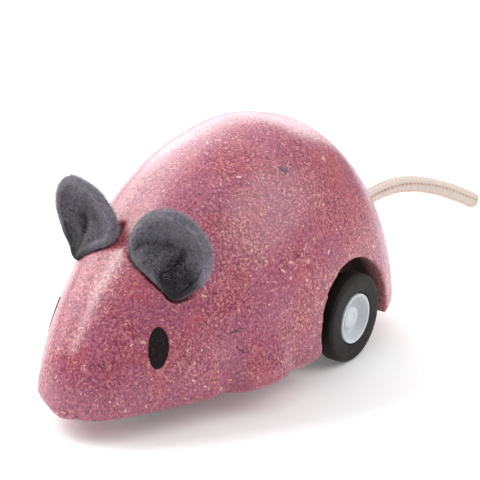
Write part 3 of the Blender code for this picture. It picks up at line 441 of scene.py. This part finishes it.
def rubber_paint():
    paint = Paint("tyre_rubber", IOR=1.5, Specular_IOR_Level=0.24)
    haze = paint.noise(0.35, 4.0, 0.6)
    colour = paint.ramp(haze, [(0.35, (0.008, 0.007, 0.0065)), (0.65, (0.015, 0.013, 0.012))])
    dust = paint.add("TexVoronoi", {"Vector": paint.mm, "Scale": 0.55}).outputs["Distance"]
    speck = paint.span(dust, 0.085, 0.05, 0.0, 0.3)
    mixed = paint.mix(speck, colour["Color"], (0.45, 0.43, 0.4))
    skin = paint.noise(5.0, 3.0, 0.6)
    return paint.finish(mixed, paint.span(haze, 0.3, 0.7, 0.5, 0.66), paint.bump(skin, 0.02, 0.5))


def plastic_paint(name, colour, roughness, texture_mm=0.015):
    """Moulded plastic with a faintly uneven surface and slight dulling."""
    paint = Paint(name, IOR=1.46)
    drift = paint.noise(0.25, 3.0, 0.55)
    dull = tuple(0.9 * part for part in colour)
    made = paint.ramp(drift, [(0.3, dull), (0.7, colour)])["Color"]
    skin = paint.noise(6.0, 3.0, 0.6)
    rough = paint.span(drift, 0.3, 0.7, roughness - 0.05, roughness + 0.07)
    return paint.finish(made, rough, paint.bump(skin, texture_mm, 0.5))


def metal_paint(name, colour, roughness):
    """Drawn or turned metal: fine lines along the work's X direction."""
    paint = Paint(name, Metallic=1.0)
    drawn = paint.vector("MULTIPLY", paint.mm, (1.0, 14.0, 14.0))
    lines = paint.noise(0.9, 4.0, 0.6, drawn)
    stain = paint.noise(0.5, 3.0, 0.6)
    dark = tuple(0.72 * part for part in colour)
    made = paint.ramp(stain, [(0.3, dark), (0.65, colour)])["Color"]
    rough = paint.span(lines, 0.3, 0.7, roughness - 0.06, roughness + 0.1)
    return paint.finish(made, rough, paint.bump(lines, 0.01, 0.5))


def floor_paint():
    paint = Paint("studio_floor", Roughness=0.8, Emission_Strength=FLOOR_GLOW,
                  Emission_Color=(1.0, 1.0, 1.0, 1.0))
    cloud = paint.noise(0.006, 3.0, 0.5)
    colour = paint.ramp(cloud, [(0.3, (0.925, 0.925, 0.925)), (0.7, (0.945, 0.945, 0.945))])
    return paint.finish(colour["Color"])


# ---- mesh tools
def mesh_from(name, points, faces):
    """A mesh from points in millimetres."""
    mesh = bpy.data.meshes.new(name)
    mesh.from_pydata((np.asarray(points, float) * MM).tolist(), [], faces)
    mesh.validate()
    return mesh


def piece(mesh, skins, replaced=(), body="chassis", sharp=None):
    """A smooth piece that rides on a body and stands for the replaced nodes."""
    for skin in skins:
        mesh.materials.append(skin)
    mesh.shade_smooth()
    if sharp:
        mesh.set_sharp_from_angle(angle=math.radians(sharp))
    thing = in_scene(mesh)
    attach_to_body(thing, body)
    if replaced:
        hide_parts(*replaced)
    return thing


def outward(mesh):
    """Turn a closed mesh's faces outwards."""
    builder = bmesh.new()
    builder.from_mesh(mesh)
    bmesh.ops.recalc_face_normals(builder, faces=builder.faces[:])
    if builder.calc_volume(signed=True) < 0:
        bmesh.ops.reverse_faces(builder, faces=builder.faces[:])
    builder.to_mesh(mesh)
    builder.free()


def grid_faces(rows, columns, first=0):
    """Quads of a grid of points, row after row, whose columns close into a loop."""
    faces = []
    for row in range(rows - 1):
        for column in range(columns):
            after = (column + 1) % columns
            a = first + row * columns
            faces.append((a + column, a + after, a + columns + after, a + columns + column))
    return faces


def fillet(corners, radius, steps=5):
    """Round every corner of a closed outline."""
    rounded = []
    for k, corner in enumerate(corners):
        here = np.array(corner)
        before = np.array(corners[k - 1]) - here
        after = np.array(corners[(k + 1) % len(corners)]) - here
        reach = min(radius, 0.48 * math.hypot(*before), 0.48 * math.hypot(*after))
        start = here + before / math.hypot(*before) * reach
        end = here + after / math.hypot(*after) * reach
        for step in range(steps + 1):
            t = step / steps
            rounded.append((1 - t) ** 2 * start + 2 * t * (1 - t) * here + t * t * end)
    return rounded


def turned(name, outline, centre, skin, body, node, steps=144):
    """Spin a closed outline of (x, radius) about the line through `centre` along X."""
    turns = np.arange(steps) * math.tau / steps
    points = [(x, centre[0] + radius * math.cos(turn), centre[1] + radius * math.sin(turn))
              for x, radius in outline for turn in turns]
    rings = grid_faces(len(outline) + 1, steps)
    mesh = mesh_from(name, points, [tuple(k % len(points) for k in face) for face in rings])
    piece(mesh, [skin], [node], body, 50.0)
    outward(mesh)


def spline_point(a, b, c, d, t):
    """The point at a share t of the way from b to c, on a Catmull-Rom curve."""
    return 0.5 * (2 * b + (c - a) * t + (2 * a - 5 * b + 4 * c - d) * t ** 2
                  + (3 * b - a - 3 * c + d) * t ** 3)


def smooth_line(points):
    """A curve through the points whose slope never overshoots, as a function of the first value."""
    spans = [b[0] - a[0] for a, b in zip(points, points[1:])]
    slopes = [(b[1] - a[1]) / span for a, b, span in zip(points, points[1:], spans)]
    tangents = [slopes[0]]
    for left, right in zip(slopes, slopes[1:]):
        tangents.append(2 * left * right / (left + right) if left * right > 0 else 0.0)
    tangents.append(slopes[-1])

    def value(at):
        k = 0
        while k < len(spans) - 1 and at > points[k + 1][0]:
            k += 1
        t = min(max((at - points[k][0]) / spans[k], 0.0), 1.0)
        rise = points[k + 1][1] - points[k][1]
        return (points[k][1] + rise * t * t * (3 - 2 * t) + spans[k] * t * (1 - t)
                * (tangents[k] * (1 - t) - tangents[k + 1] * t))

    return value


def attach(thing, **layers):
    """Store one number for each point of a piece, under each name."""
    for name, values in layers.items():
        layer = thing.data.attributes.new(name, "FLOAT", "POINT")
        layer.data.foreach_set("value", np.asarray(values, np.float32))


def unit(vectors):
    return vectors / np.linalg.norm(vectors, axis=1)[:, None]


def fuzz(name, base, skin, weight, count, length, width, lift, seed):
    """Loose fibres standing off a mesh of the chassis: each is a narrow bent ribbon.

    `weight` gives their density from the faces' centres, and `lift` says how upright they are.
    """
    draw = np.random.RandomState(seed)
    mesh = base.data
    mesh.calc_loop_triangles()
    co = np.array([vertex.co for vertex in mesh.vertices]) / MM
    trios = np.array([triangle.vertices for triangle in mesh.loop_triangles])
    a, b, c = co[trios[:, 0]], co[trios[:, 1]], co[trios[:, 2]]
    across = np.cross(b - a, c - a)
    area = np.linalg.norm(across, axis=1)
    chance = area * weight((a + b + c) / 3)
    picked = draw.choice(len(trios), count, p=chance / chance.sum())
    u, v = draw.rand(count, 1), draw.rand(count, 1)
    over = u + v > 1
    u, v = np.where(over, 1 - u, u), np.where(over, 1 - v, v)
    root = a[picked] + u * (b - a)[picked] + v * (c - a)[picked]
    up = across[picked] / area[picked][:, None]
    wild = draw.normal(size=(count, 3))
    lean = unit(wild - (wild * up).sum(1)[:, None] * up)
    rise = unit(up * lift + lean * draw.uniform(0.2, 1.0, (count, 1)))
    long = draw.uniform(0.35, 1.0, (count, 1)) * length
    bend = draw.normal(size=(count, 3)) * 0.35
    side = unit(np.cross(rise, draw.normal(size=(count, 3)))) * width / 2
    foot = root - up * 0.05
    middle = root + rise * long * 0.5
    tip = root + rise * long + bend * long * 0.6
    points = np.stack([foot - side, foot + side, middle + side, middle - side, tip], 1)
    faces = []
    for k in range(0, 5 * count, 5):
        faces += [(k, k + 1, k + 2, k + 3), (k + 3, k + 2, k + 4)]
    piece(mesh_from(name, points.reshape(-1, 3), faces), [skin])


# ---- tail
def smooth_route(points, spacing):
    """Evenly spread points along a Catmull-Rom curve through the given ones."""
    knots = [Vector(point) for point in points]
    padded = [2 * knots[0] - knots[1]] + knots + [2 * knots[-1] - knots[-2]]
    fine = []
    for k in range(1, len(padded) - 2):
        fine += [spline_point(*padded[k - 1:k + 3], step / 24) for step in range(24)]
    fine = np.array(fine + [knots[-1]])
    lengths = np.concatenate([[0], np.cumsum(np.linalg.norm(np.diff(fine, axis=0), axis=1))])
    count = int(round(lengths[-1] / spacing)) + 1
    wanted = np.linspace(0, lengths[-1], count)
    return np.stack([np.interp(wanted, lengths, fine[:, k]) for k in range(3)], 1), lengths[-1]


def make_tail():
    """A knitted cotton cord: six columns of stitches round a soft core, cut off square."""
    around = 120
    route, length = smooth_route(TAIL_ROUTE, 0.075)
    ahead = unit(np.gradient(route, axis=0))
    sideways = unit(np.cross(ahead, (0.0, 0.0, 1.0)))
    upwards = np.cross(sideways, ahead)
    along = np.linspace(0, length, len(route))[:, None]
    turn = (np.arange(around) * math.tau / around)[None, :]
    share = ((turn * TAIL_COLUMNS / math.tau + TAIL_TURN) % 1.0) * 2 - 1
    edge = np.abs(share)
    row = along / TAIL_STITCH + 0.5 * edge
    rib = 0.5 + 0.5 * np.cos(row * math.tau)
    loop = 0.5 + 0.5 * np.cos(along / (2 * TAIL_STITCH) * math.tau + 0.8 * share)
    seam = np.clip((edge - 0.52) / 0.4, 0, 1) ** 2
    wander = 0.03 * np.sin(along * 0.9) + 0.02 * np.sin(along * 2.3 + 3 * turn)
    inset = seam * (0.1 + 0.2 * (1 - loop)) + 0.12 * (1 - rib) * (1 - seam)
    inset = inset + 0.05 * np.exp(-(share / 0.16) ** 2) + 0.03 - wander
    from_end = np.clip((length - along) / 0.9, 0, 1)
    notch = 0.16 * (1 - from_end) * np.cos(2 * turn + 0.6) ** 2
    radius = (TAIL_RADIUS - inset - notch) * (0.9 + 0.1 * np.sqrt(from_end))
    round_it = (np.sin(turn)[..., None] * sideways[:, None, :]
                + np.cos(turn)[..., None] * upwards[:, None, :])
    ring = route[:, None, :] + radius[..., None] * round_it
    hole = seam * (0.25 + 0.75 * (1 - loop)) + 0.14 * (1 - rib) * (1 - seam)
    cut_end = np.clip(1 - (length - along) / 2.2, 0, 1) ** 2 * 0.8 + 0 * turn
    points, shade, ends = [ring.reshape(-1, 3)], [hole.ravel()], [cut_end.ravel()]
    draw = np.random.RandomState(11)
    faces = [face[::-1] for face in grid_faces(len(route), around)]
    total = len(route) * around
    for shrink, push in ((0.93, 0.12), (0.8, 0.14), (0.55, 0.05), (0.25, -0.02)):
        rough = draw.uniform(-0.06, 0.06, (around, 1)) * ahead[-1]
        loop = route[-1] + (ring[-1] - route[-1]) * shrink + ahead[-1] * push + rough
        points.append(loop)
        shade.append(np.full(around, 0.15))
        ends.append(np.full(around, 1.0))
        before = total - around
        for k in range(around):
            after = (k + 1) % around
            faces.append((before + k, total + k, total + after, before + after))
        total += around
    faces += [tuple(range(total - around, total))[::-1], tuple(range(around))]
    mesh = mesh_from("tail_braid", np.concatenate(points), faces)
    tail = piece(mesh, [cotton_paint()], ["tail_cord"])
    attach(tail, hole=np.concatenate(shade), cut_end=np.concatenate(ends))
    outward(mesh)
    return tail


# ---- body
back_height = smooth_line(BACK_LINE)
plan_half_width = smooth_line(PLAN_LINE)


def half_section(y, edge_steps=10, crown_steps=64):
    """Points (x, z) of the +X half of a cross section, from the underside's edge to the crown."""
    from_nose = min((y - BACK_LINE[0][0]) / NOSE_ROUNDING, 1.0)
    from_rump = min((BACK_LINE[-1][0] - y) / RUMP_ROUNDING, 1.0)
    closing = math.sqrt(1 - (1 - from_nose) ** 2) * math.sqrt(1 - (1 - from_rump) ** 2)
    width = plan_half_width(y) * closing
    height = (back_height(y) - UNDERSIDE) * closing ** END_HEIGHT_POWER
    edge = min(EDGE_RADIUS, EDGE_SHARES[0] * width, EDGE_SHARES[1] * height)
    turn = np.linspace(0, math.pi / 2, edge_steps, endpoint=False)
    start = math.asin((edge / height) ** (CROWN_POWER / 2))
    rise = np.linspace(start, math.pi / 2, crown_steps)
    x = np.concatenate([width - edge + edge * np.sin(turn),
                        width * np.clip(np.cos(rise), 0, 1) ** (2 / FLANK_POWER)])
    z = np.concatenate([edge * (1 - np.cos(turn)), height * np.sin(rise) ** (2 / CROWN_POWER)])
    z = z + UNDERSIDE
    reach = PAW_REACH[0] if y < PAW_CENTRE[0] else PAW_REACH[1]
    above = np.maximum(z - PAW_CENTRE[1], 0.0) / PAW_REACH_UP
    bulge = PAW_BULGE * np.exp(-((y - PAW_CENTRE[0]) / reach) ** 4 - above ** 2)
    ahead = (y - PAW_CENTRE[0] + PAW_GROOVE_AHEAD) / PAW_GROOVE_WIDTH
    bulge = bulge - PAW_GROOVE * np.exp(-ahead ** 2 - above ** 2)
    return x + bulge * np.minimum(1.0, x / width) ** 4, z


def body_block():
    """The uncut block as (points, faces)."""
    rings = 220
    first, last = BACK_LINE[0][0], BACK_LINE[-1][0]
    rows = []
    for step in range(rings + 1):
        turn = math.pi * (END_FACE_SHARE + (1 - 2 * END_FACE_SHARE) * step / rings)
        y = first + (last - first) * (1 - math.cos(turn)) / 2
        x, z = half_section(y)
        outline = np.concatenate([np.stack([x, z], 1), np.stack([-x, z], 1)[-2::-1]])
        rows.append(np.insert(outline, 1, y, axis=1))
    around = len(rows[0])
    faces = grid_faces(len(rows), around)
    last = (len(rows) - 1) * around
    faces += [tuple(range(around)), tuple(range(last, last + around))[::-1]]
    return np.concatenate(rows), faces


def solid(name, points, faces):
    """A bare solid to cut, or to cut with."""
    mesh = mesh_from(name, points, faces)
    outward(mesh)
    return in_scene(mesh)


def prism_cutter(name, outline, start, end):
    """An outline of (y, z) points carried from one X to another."""
    count = len(outline)
    points = [(x, y, z) for x in (start, end) for y, z in outline]
    faces = [tuple(range(count)), tuple(range(2 * count - 1, count - 1, -1))]
    faces += [(k, (k + 1) % count, count + (k + 1) % count, count + k) for k in range(count)]
    return solid(name, points, faces)


def box_cutter(name, low, high):
    outline = [(low[1], low[2]), (high[1], low[2]), (high[1], high[2]), (low[1], high[2])]
    return prism_cutter(name, outline, low[0], high[0])


def rod_cutter(name, start, end, radius, steps=32):
    start, end = Vector(start), Vector(end)
    way = (end - start).normalized()
    aside = way.orthogonal().normalized()
    other = way.cross(aside)
    turns = [math.tau * k / steps for k in range(steps)]
    points = [spot + radius * (aside * math.cos(turn) + other * math.sin(turn))
              for spot in (start, end) for turn in turns]
    faces = [tuple(range(steps)), tuple(range(2 * steps - 1, steps - 1, -1))]
    faces += grid_faces(2, steps)
    return solid(name, points, faces)


def body_cutters():
    """Wheel arches, the motor's and the front axle's pockets, screw holes, ear slots and socket."""
    out_x, out_y = BODY_REACH
    turns = np.linspace(0, math.pi, 96)
    arch = [(AXLE_AT[0] + ARCH_RADIUS * math.cos(turn), AXLE_AT[1] + ARCH_RADIUS * math.sin(turn))
            for turn in turns]
    arch += [(AXLE_AT[0] - ARCH_RADIUS, -2.0), (AXLE_AT[0] + ARCH_RADIUS, -2.0)]
    tools = [prism_cutter("cut_arch_left", arch, ARCH_WALL_X, out_x),
             prism_cutter("cut_arch_right", arch, -ARCH_WALL_X, -out_x)]
    tools += [box_cutter(f"cut_pocket_{k}", low, high) for k, (low, high) in enumerate(POCKETS)]
    tools.append(box_cutter("cut_rear_hem", (-out_x, REAR_HEM_Y, -3.0), (out_x, out_y, REAR_HEM_Z)))
    for name, x, y, _, z in SCREWS:
        tools.append(rod_cutter("cut_" + name, (x, y, z - 1.0), (x, y, z + 5.5), 1.2))
    start = Vector(TAIL_ROUTE[0])
    way = (Vector(TAIL_ROUTE[2]) - start).normalized()
    tools.append(rod_cutter("cut_tail", start - way * 0.3, start + way * 14.0,
                            TAIL_RADIUS + 0.15, 48))
    for side, word in SIDES:
        thicker, wider = EAR_SLOT_GROWTH
        points, faces, _, _ = ear_mesh(side, EAR_THICKNESS + thicker, wider, 14, 56)
        tools.append(solid("cut_ear_" + word, points, faces))
        lift = EAR_LIFT[side]
        low, high = ((side * x, forehead(x, z + lift), z + lift) for x, z in SLOT_END)
        tools.append(rod_cutter("cut_slot_end_" + word, low, high, SLOT_END_RADIUS, 24))
    return tools


def make_body():
    block = solid("body_block", *body_block())
    tools = body_cutters()
    for tool in tools:
        carve = block.modifiers.new(tool.name, "BOOLEAN")
        carve.object = tool
        carve.solver = "EXACT"
    melt = block.modifiers.new("melt", "REMESH")
    melt.mode = "VOXEL"
    melt.voxel_size = 0.42 * MM
    soften = block.modifiers.new("soften", "SMOOTH")
    soften.factor = 0.5
    soften.iterations = 7
    depsgraph = bpy.context.evaluated_depsgraph_get()
    mesh = bpy.data.meshes.new_from_object(block.evaluated_get(depsgraph))
    mesh.name = "body_pressed"
    for thing in [block] + tools:
        bpy.data.objects.remove(thing, do_unlink=True)
    skins = [composite_paint("pressed_fibre"), composite_paint("pressed_fibre_cut_shaded", True)]
    body = piece(mesh, skins, ["body_shell"])
    cut_faces(mesh)
    return body


def cut_faces(mesh):
    """Give the walls of the arches and the pockets the rougher cut finish, with its painted shade.
    """
    centre = np.zeros(len(mesh.polygons) * 3)
    mesh.polygons.foreach_get("center", centre)
    centre = centre.reshape(-1, 3) / MM
    x, y, z = np.abs(centre[:, 0]), centre[:, 1] - AXLE_AT[0], centre[:, 2] - AXLE_AT[1]
    reach = ARCH_RADIUS + 0.22
    marked = (np.hypot(y, z) < reach) | ((np.abs(y) < reach) & (z < 0.0))
    marked &= (x > ARCH_WALL_X - 0.4) & (x < ARCH_LIP_X)
    for low, high in POCKETS:
        inside = (centre > np.array(low) - 0.3) & (centre < np.array(high) + 0.3)
        marked |= inside.all(axis=1) & (centre[:, 2] > UNDERSIDE + 0.35)
    mesh.polygons.foreach_set("material_index", marked.astype(np.int32))


def make_eyes(body):
    """Each eye is an oval film of black paint that follows the flank."""
    points = [vertex.co for vertex in body.data.vertices]
    surface = BVHTree.FromPolygons(points, [face.vertices for face in body.data.polygons])
    skin = eye_paint()
    middle, wide, tall = np.array(EYE_AT), np.array(EYE_WIDE), np.array(EYE_TALL)
    rings, spokes = 26, 96
    levels = [(k / rings, EYE_LIFT) for k in range(1, rings)]
    levels += [(0.985, 0.04), (1.0, 0.02), (1.004, -0.08)]
    for side, word in SIDES:
        found = []
        for share, lift in [(0.0, EYE_LIFT)] + levels:
            for spoke in range(spokes if share else 1):
                turn = math.tau * spoke / spokes
                wave = noise.noise(Vector((5 * math.cos(turn), 5 * math.sin(turn), side)))
                ragged = 1 + 0.012 * wave
                y, z = middle + share * ragged * (wide * math.cos(turn) + tall * math.sin(turn))
                start = Vector((side * 0.06, y * MM, z * MM))
                spot, normal, _, _ = surface.ray_cast(start, Vector((-side, 0.0, 0.0)))
                found.append((spot + normal * lift * MM) / MM)
        faces = [(0, 1 + k, 1 + (k + 1) % spokes) for k in range(spokes)]
        faces += grid_faces(len(levels), spokes, 1)
        if side < 0:
            faces = [face[::-1] for face in faces]
        mesh = mesh_from("eye_" + word, found, faces)
        eye = piece(mesh, [skin])
        thick = eye.modifiers.new("film", "SOLIDIFY")
        thick.thickness = EYE_FILM * MM
        thick.offset = -1.0


# ---- ears
def smooth_step(value):
    value = min(max(value, 0.0), 1.0)
    return value * value * (3 - 2 * value)


def forehead(x, z):
    """Y of the body's surface where the ears stand."""
    rise = z - FOREHEAD_AT[1]
    return (FOREHEAD_AT[0] + FOREHEAD_ROUND * x * x + FOREHEAD_SLOPE * rise
            + FOREHEAD_BEND * rise ** 2)


def ear_edge(turn):
    """A point of the felt's rim: a closed Catmull-Rom curve through EAR_RIM."""
    count = len(EAR_RIM)
    place = (turn / math.tau * count) % count
    near = [Vector(EAR_RIM[(int(place) + step) % count]) for step in (-1, 0, 1, 2)]
    return spline_point(*near, place % 1.0)


def ear_hollow(reach, turn):
    """The middle of the felt as a free cup, at a share of the way from its bottom to its rim."""
    bottom = Vector(EAR_CUP)
    out = ear_edge(turn) - bottom
    return bottom + Vector((out.x * reach, out.y * reach ** EAR_HOLLOW_POWER, out.z * reach))


def ear_middle(reach, turn, lift):
    """The middle of the felt, held ahead of the forehead but for its rim, which enters the slot."""
    spot = ear_hollow(reach, turn)
    foot = smooth_step((reach - EAR_FOOT_SHARE) / (1.0 - EAR_FOOT_SHARE))
    held = forehead(spot.x, spot.z + lift) - EAR_STANDOFF + EAR_DIVE * foot
    apart = abs(spot.y - held) / EAR_BEND
    spot.y = min(spot.y, held) - EAR_BEND * math.log(1 + math.exp(-apart))
    return spot


def ear_facing(reach, turn, lift):
    """The way the felt faces there: forwards, halfway between the free cup's and the held one's."""
    near, step = max(reach, EAR_FACING_START), EAR_FACING_STEP
    facing = Vector()
    for sheet in (ear_hollow, lambda share, way: ear_middle(share, way, lift)):
        along = sheet(near + step, turn) - sheet(near - step, turn)
        around = sheet(near, turn + step) - sheet(near, turn - step)
        way = along.cross(around).normalized()
        facing += -way if way.y > 0 else way
    return facing.normalized()


def from_crease(x, z):
    """Distance from the ear's crease, below 0 on one side, and the share of the way down it."""
    best = (1e9, 0.0, 0.0)
    for k, (start, end) in enumerate(zip(EAR_CREASE, EAR_CREASE[1:])):
        way = Vector(end) - Vector(start)
        off = Vector((x, z)) - Vector(start)
        share = min(max(off.dot(way) / way.length_squared, 0.0), 1.0)
        gap = off - way * share
        side = 1.0 if way.x * off.y - way.y * off.x > 0 else -1.0
        if gap.length < best[0]:
            best = (gap.length, side * gap.length, (k + share) / (len(EAR_CREASE) - 1))
    return best[1], best[2]


def ear_shade(spot, reach, groove):
    """Painted shade on the felt: how dark it is in its crease, low down, at its foot and in a line
    inside its rim.
    """
    (foot_x, reach_x), (foot_z, reach_z) = EAR_FOOT
    foot = math.exp(-((spot.x - foot_x) / reach_x) ** 4 - ((spot.z - foot_z) / reach_z) ** 4)
    low = smooth_step((37.0 - spot.z) / 6.0) * (1 - smooth_step((spot.x - 16.5) / 2.5))
    share, width, depth = RIM_LINE
    line = depth * math.exp(-((reach - share) / width) ** 2) * smooth_step((spot.x - 11.0) / 4.0)
    return min(0.95 * groove + 0.35 * foot + line + 0.55 * low, 1.0), foot


def ear_mesh(side, thickness, grow, rings, spokes, real=False):
    """The felt as a closed sheet with a soft edge: (points, faces, shade, rim).

    `grow` widens it, in mm. The real ear also has its crease, an uneven surface, painted shade and
    a painted highlight along its rim.
    """
    half = thickness / 2
    soft = min(0.55, half * 0.6) / EAR_REACH
    whole = 1.0 + grow / EAR_REACH
    lift = EAR_LIFT[side]
    rows = [(ring / rings * (whole - soft), half) for ring in range(1, rings + 1)]
    rows += [(whole - soft + soft * math.sin(turn), half - (1 - math.cos(turn)) * soft * EAR_REACH)
             for turn in (0.5, 1.0, math.pi / 2)]
    rows = rows + [(reach, -through) for reach, through in reversed(rows)]
    points, shade, rim = [], [], []

    def place(reach, turn, through):
        spot = ear_middle(reach, turn, lift) + ear_facing(reach, turn, lift) * through
        if real:
            grain = noise.noise(Vector((spot.x * 0.35, spot.z * 0.35, side * 9.0)))
            fine = noise.noise(Vector((spot.x * 1.6, spot.z * 1.6, side * 5.0 + through)))
            spot.y -= 0.1 * (grain + 0.35 * fine)
            aside, down = from_crease(spot.x, spot.z)
            groove = math.exp(-(aside / CREASE_WIDTH) ** 2)
            if through > 0:
                held = smooth_step(down * 5.0) * (1 - 0.6 * smooth_step(down * 1.6 - 0.6))
                away, width, height = CREASE_SHOULDER
                shoulder = math.exp(-((abs(aside) - away) / width) ** 2)
                spot.y += held * (CREASE_DEPTH * groove - height * shoulder)
            # painted shade, kept off the back face, and a painted highlight along the rim that
            # fades at the foot
            dark, foot = ear_shade(spot, reach, groove * smooth_step(down * 4.0 + 0.3))
            shade.append(dark if through > -half * 0.9 else 0.0)
            rim.append(smooth_step((reach - RIM_LINE[0]) / 0.06) * (1 - foot))
        points.append(Vector((side * spot.x, spot.y, spot.z + lift)))

    place(0.0, 0.0, half)
    for reach, through in rows:
        for spoke in range(spokes):
            place(reach, math.tau * spoke / spokes, through)
    place(0.0, 0.0, -half)
    faces = grid_faces(len(rows), spokes, 1)
    last = 1 + (len(rows) - 1) * spokes
    for k in range(spokes):
        after = (k + 1) % spokes
        faces += [(0, 1 + after, 1 + k), (len(points) - 1, last + k, last + after)]
    return points, faces, shade, rim


def make_ears():
    skin = felt_paint("grey_felt", (0.064, 0.056, 0.068), (0.166, 0.15, 0.18),
                      (0.315, 0.292, 0.35))
    pale = fibre_paint("felt_fibre_pale", (0.4, 0.39, 0.42))
    grey = fibre_paint("felt_fibre_grey", (0.17, 0.155, 0.175))
    for side, word in SIDES:
        points, faces, shade, rim = ear_mesh(side, EAR_THICKNESS, 0.0, 34, 144, True)
        mesh = mesh_from("ear_felt_" + word, points, faces)
        ear = piece(mesh, [skin], ["ear_" + word])
        attach(ear, shade=shade, rim=rim)
        outward(mesh)
        foot = EAR_RIM[0][2] + EAR_LIFT[side]

        def above_slot(centre):
            return np.clip((centre[:, 2] - foot - 3.5) / 6.0, 0.02, 1.0)

        fuzz("ear_nap_" + word, ear, grey, above_slot, count=9000, length=0.55,
             width=0.04, lift=0.5, seed=21 + side)
        fuzz("ear_fringe_" + word, ear, pale, above_slot, count=9000, length=1.05,
             width=0.04, lift=0.9, seed=31 + side)


# ---- wheels
def make_wheels():
    rubber = rubber_paint()
    white = plastic_paint("hub_plastic", (0.66, 0.68, 0.71), 0.36)
    inner, face = WHEEL_FACE_X - TYRE_WIDTH, WHEEL_FACE_X
    seat, tread = HUB_RADIUS, TYRE_RADIUS
    web, step_x, low = face - HUB_WEB_DEPTH, inner + TREAD_STEP_WIDTH, tread - TREAD_STEP_DEPTH
    tyre = [(inner, seat + 0.2), (inner, low - 0.7), (inner + 0.4, low), (step_x, low),
            (step_x + 0.3, tread), (face - 0.7, tread), (face - 0.1, tread - 0.5),
            (face, tread - 1.3), (face - 0.05, seat + 0.5), (face - 0.3, seat + 0.2)]
    hub = [(inner + 0.2, BORE_RADIUS), (inner + 0.2, seat), (face + 0.08, seat),
           (face + 0.1, seat - 0.55), (face - 0.5, seat - 0.75), (face - 2.0, seat - 1.25),
           (web, seat - 1.8), (web, 2.75), (face - 1.25, 2.55), (face - 1.0, 2.1),
           (face - 0.9, 1.2), (face - 1.15, 0.9), (face - 1.15, 0.02), (face - 1.9, 0.02),
           (face - 1.9, BORE_RADIUS)]
    for side, word in SIDES:
        for name, outline, skin, radius, slot in (("tyre_", tyre, rubber, 0.35, "black_rubber"),
                                                  ("hub_", hub, white, 0.28, "white_plastic")):
            soft = fillet([(side * x, r) for x, r in outline], radius)
            turned(name + word, soft, AXLE_AT, skin, "rear_wheels", "rear_" + name + word)
    roller_white = plastic_paint("roller_plastic", (0.6, 0.61, 0.63), 0.42)
    near, far = ROLLER_X
    half = [(near, BORE_RADIUS), (near, 2.6), (near + 0.6, 3.0), (near + 0.6, 4.9), (near, 5.2),
            (near, ROLLER_AT[1])]
    roller = half + [(near + far - x, r) for x, r in reversed(half)]
    for side, word in SIDES:
        soft = fillet([(side * x, r) for x, r in roller], 0.45)
        turned("roller_" + word, soft, ROLLER_AT, roller_white, "front_rollers",
               "front_wheel_" + word, 96)


# ---- screws
def make_screws(steel):
    """Cross-head screws, seen from below."""
    steps = 48
    profile = [(0.0, 0.06), (0.4, 0.02), (0.9, 0.03), (1.25, 0.12), (1.5, 0.28), (1.66, 0.52),
               (1.68, 0.86), (1.6, 0.9), (0.92, 0.9)]
    profile += [(0.88 - 0.18 * (k % 2), 0.95 + 0.35 * k) for k in range(16)] + [(0.2, 7.5)]
    for name, x, y, under, _ in SCREWS:
        base = under - 1.0
        points = []
        for radius, rise in profile[1:]:
            for k in range(steps):
                turn = math.tau * k / steps
                cross = abs(math.sin(2 * turn + 0.5))
                in_head = radius < 1.05 and rise < 0.2
                sunk = 0.55 * math.exp(-(cross * radius / 0.32) ** 4) if in_head else 0.0
                points.append((x + radius * math.cos(turn), y + radius * math.sin(turn),
                               base + rise + sunk))
        faces = grid_faces(len(profile) - 1, steps)
        points += [(x, y, base + profile[0][1] + 0.6), (x, y, base + profile[-1][1])]
        last = (len(profile) - 2) * steps
        for k in range(steps):
            after = (k + 1) % steps
            faces += [(after, k, len(points) - 2), (last + k, last + after, len(points) - 1)]
        mesh = mesh_from(name + "_steel", points, faces)
        piece(mesh, [steel], [name], sharp=40.0)
        outward(mesh)


# ---- finishes of the other CAD nodes
def finish_nodes(steel):
    """Give each CAD node that stays its material, and round its edges a little."""
    moulding = plastic_paint("black_moulding", (0.045, 0.045, 0.05), 0.46, 0.03)
    nylon = plastic_paint("natural_nylon", (0.76, 0.74, 0.64), 0.44)
    brass = metal_paint("brass", (0.75, 0.53, 0.24), 0.28)
    blued = metal_paint("blue_spring_steel", (0.15, 0.17, 0.23), 0.32)
    finishes = [(steel, 0.12, ("rear_axle", "front_axle", "middle_pin", "spring_arbor")),
                (moulding, 0.25, ("motor_case_left", "motor_case_right")),
                (moulding, 0.2, ("front_bracket",)),
                (nylon, 0.0, ("middle_gear", "spring_gear")),
                (brass, 0.0, ("axle_pinion",)), (blued, 0.0, ("mainspring",))]
    for skin, rounding, names in finishes:
        for name in names:
            node = NODES[name]
            node.data.materials.clear()
            node.data.materials.append(skin)
            if rounding:
                edge = node.modifiers.new("edges", "BEVEL")
                edge.width = rounding * MM
                edge.segments = 2
                edge.limit_method = "ANGLE"
                edge.angle_limit = math.radians(50.0)


def make_floor():
    builder = bmesh.new()
    bmesh.ops.create_grid(builder, x_segments=24, y_segments=24, size=3.0)
    mesh = bpy.data.meshes.new("studio_floor")
    builder.to_mesh(mesh)
    builder.free()
    mesh.materials.append(floor_paint())
    in_scene(mesh)


# ---- the whole scene
def build():
    make_camera()
    tail = make_tail()
    make_studio()
    make_floor()
    body = make_body()
    make_eyes(body)
    make_ears()
    make_wheels()
    steel = metal_paint("bright_steel", (0.62, 0.62, 0.63), 0.26)
    make_screws(steel)
    finish_nodes(steel)
    loose = fibre_paint("cotton_fibre", (0.8, 0.74, 0.68))
    fuzz("tail_fuzz", tail, loose,
         lambda centre: np.clip((centre[:, 1] - 48.0) / 4.0, 0.0, 1.0), count=2600, length=0.42,
         width=0.022, lift=0.8, seed=5)
    bpy.context.scene.view_settings.view_transform = "Standard"


build()
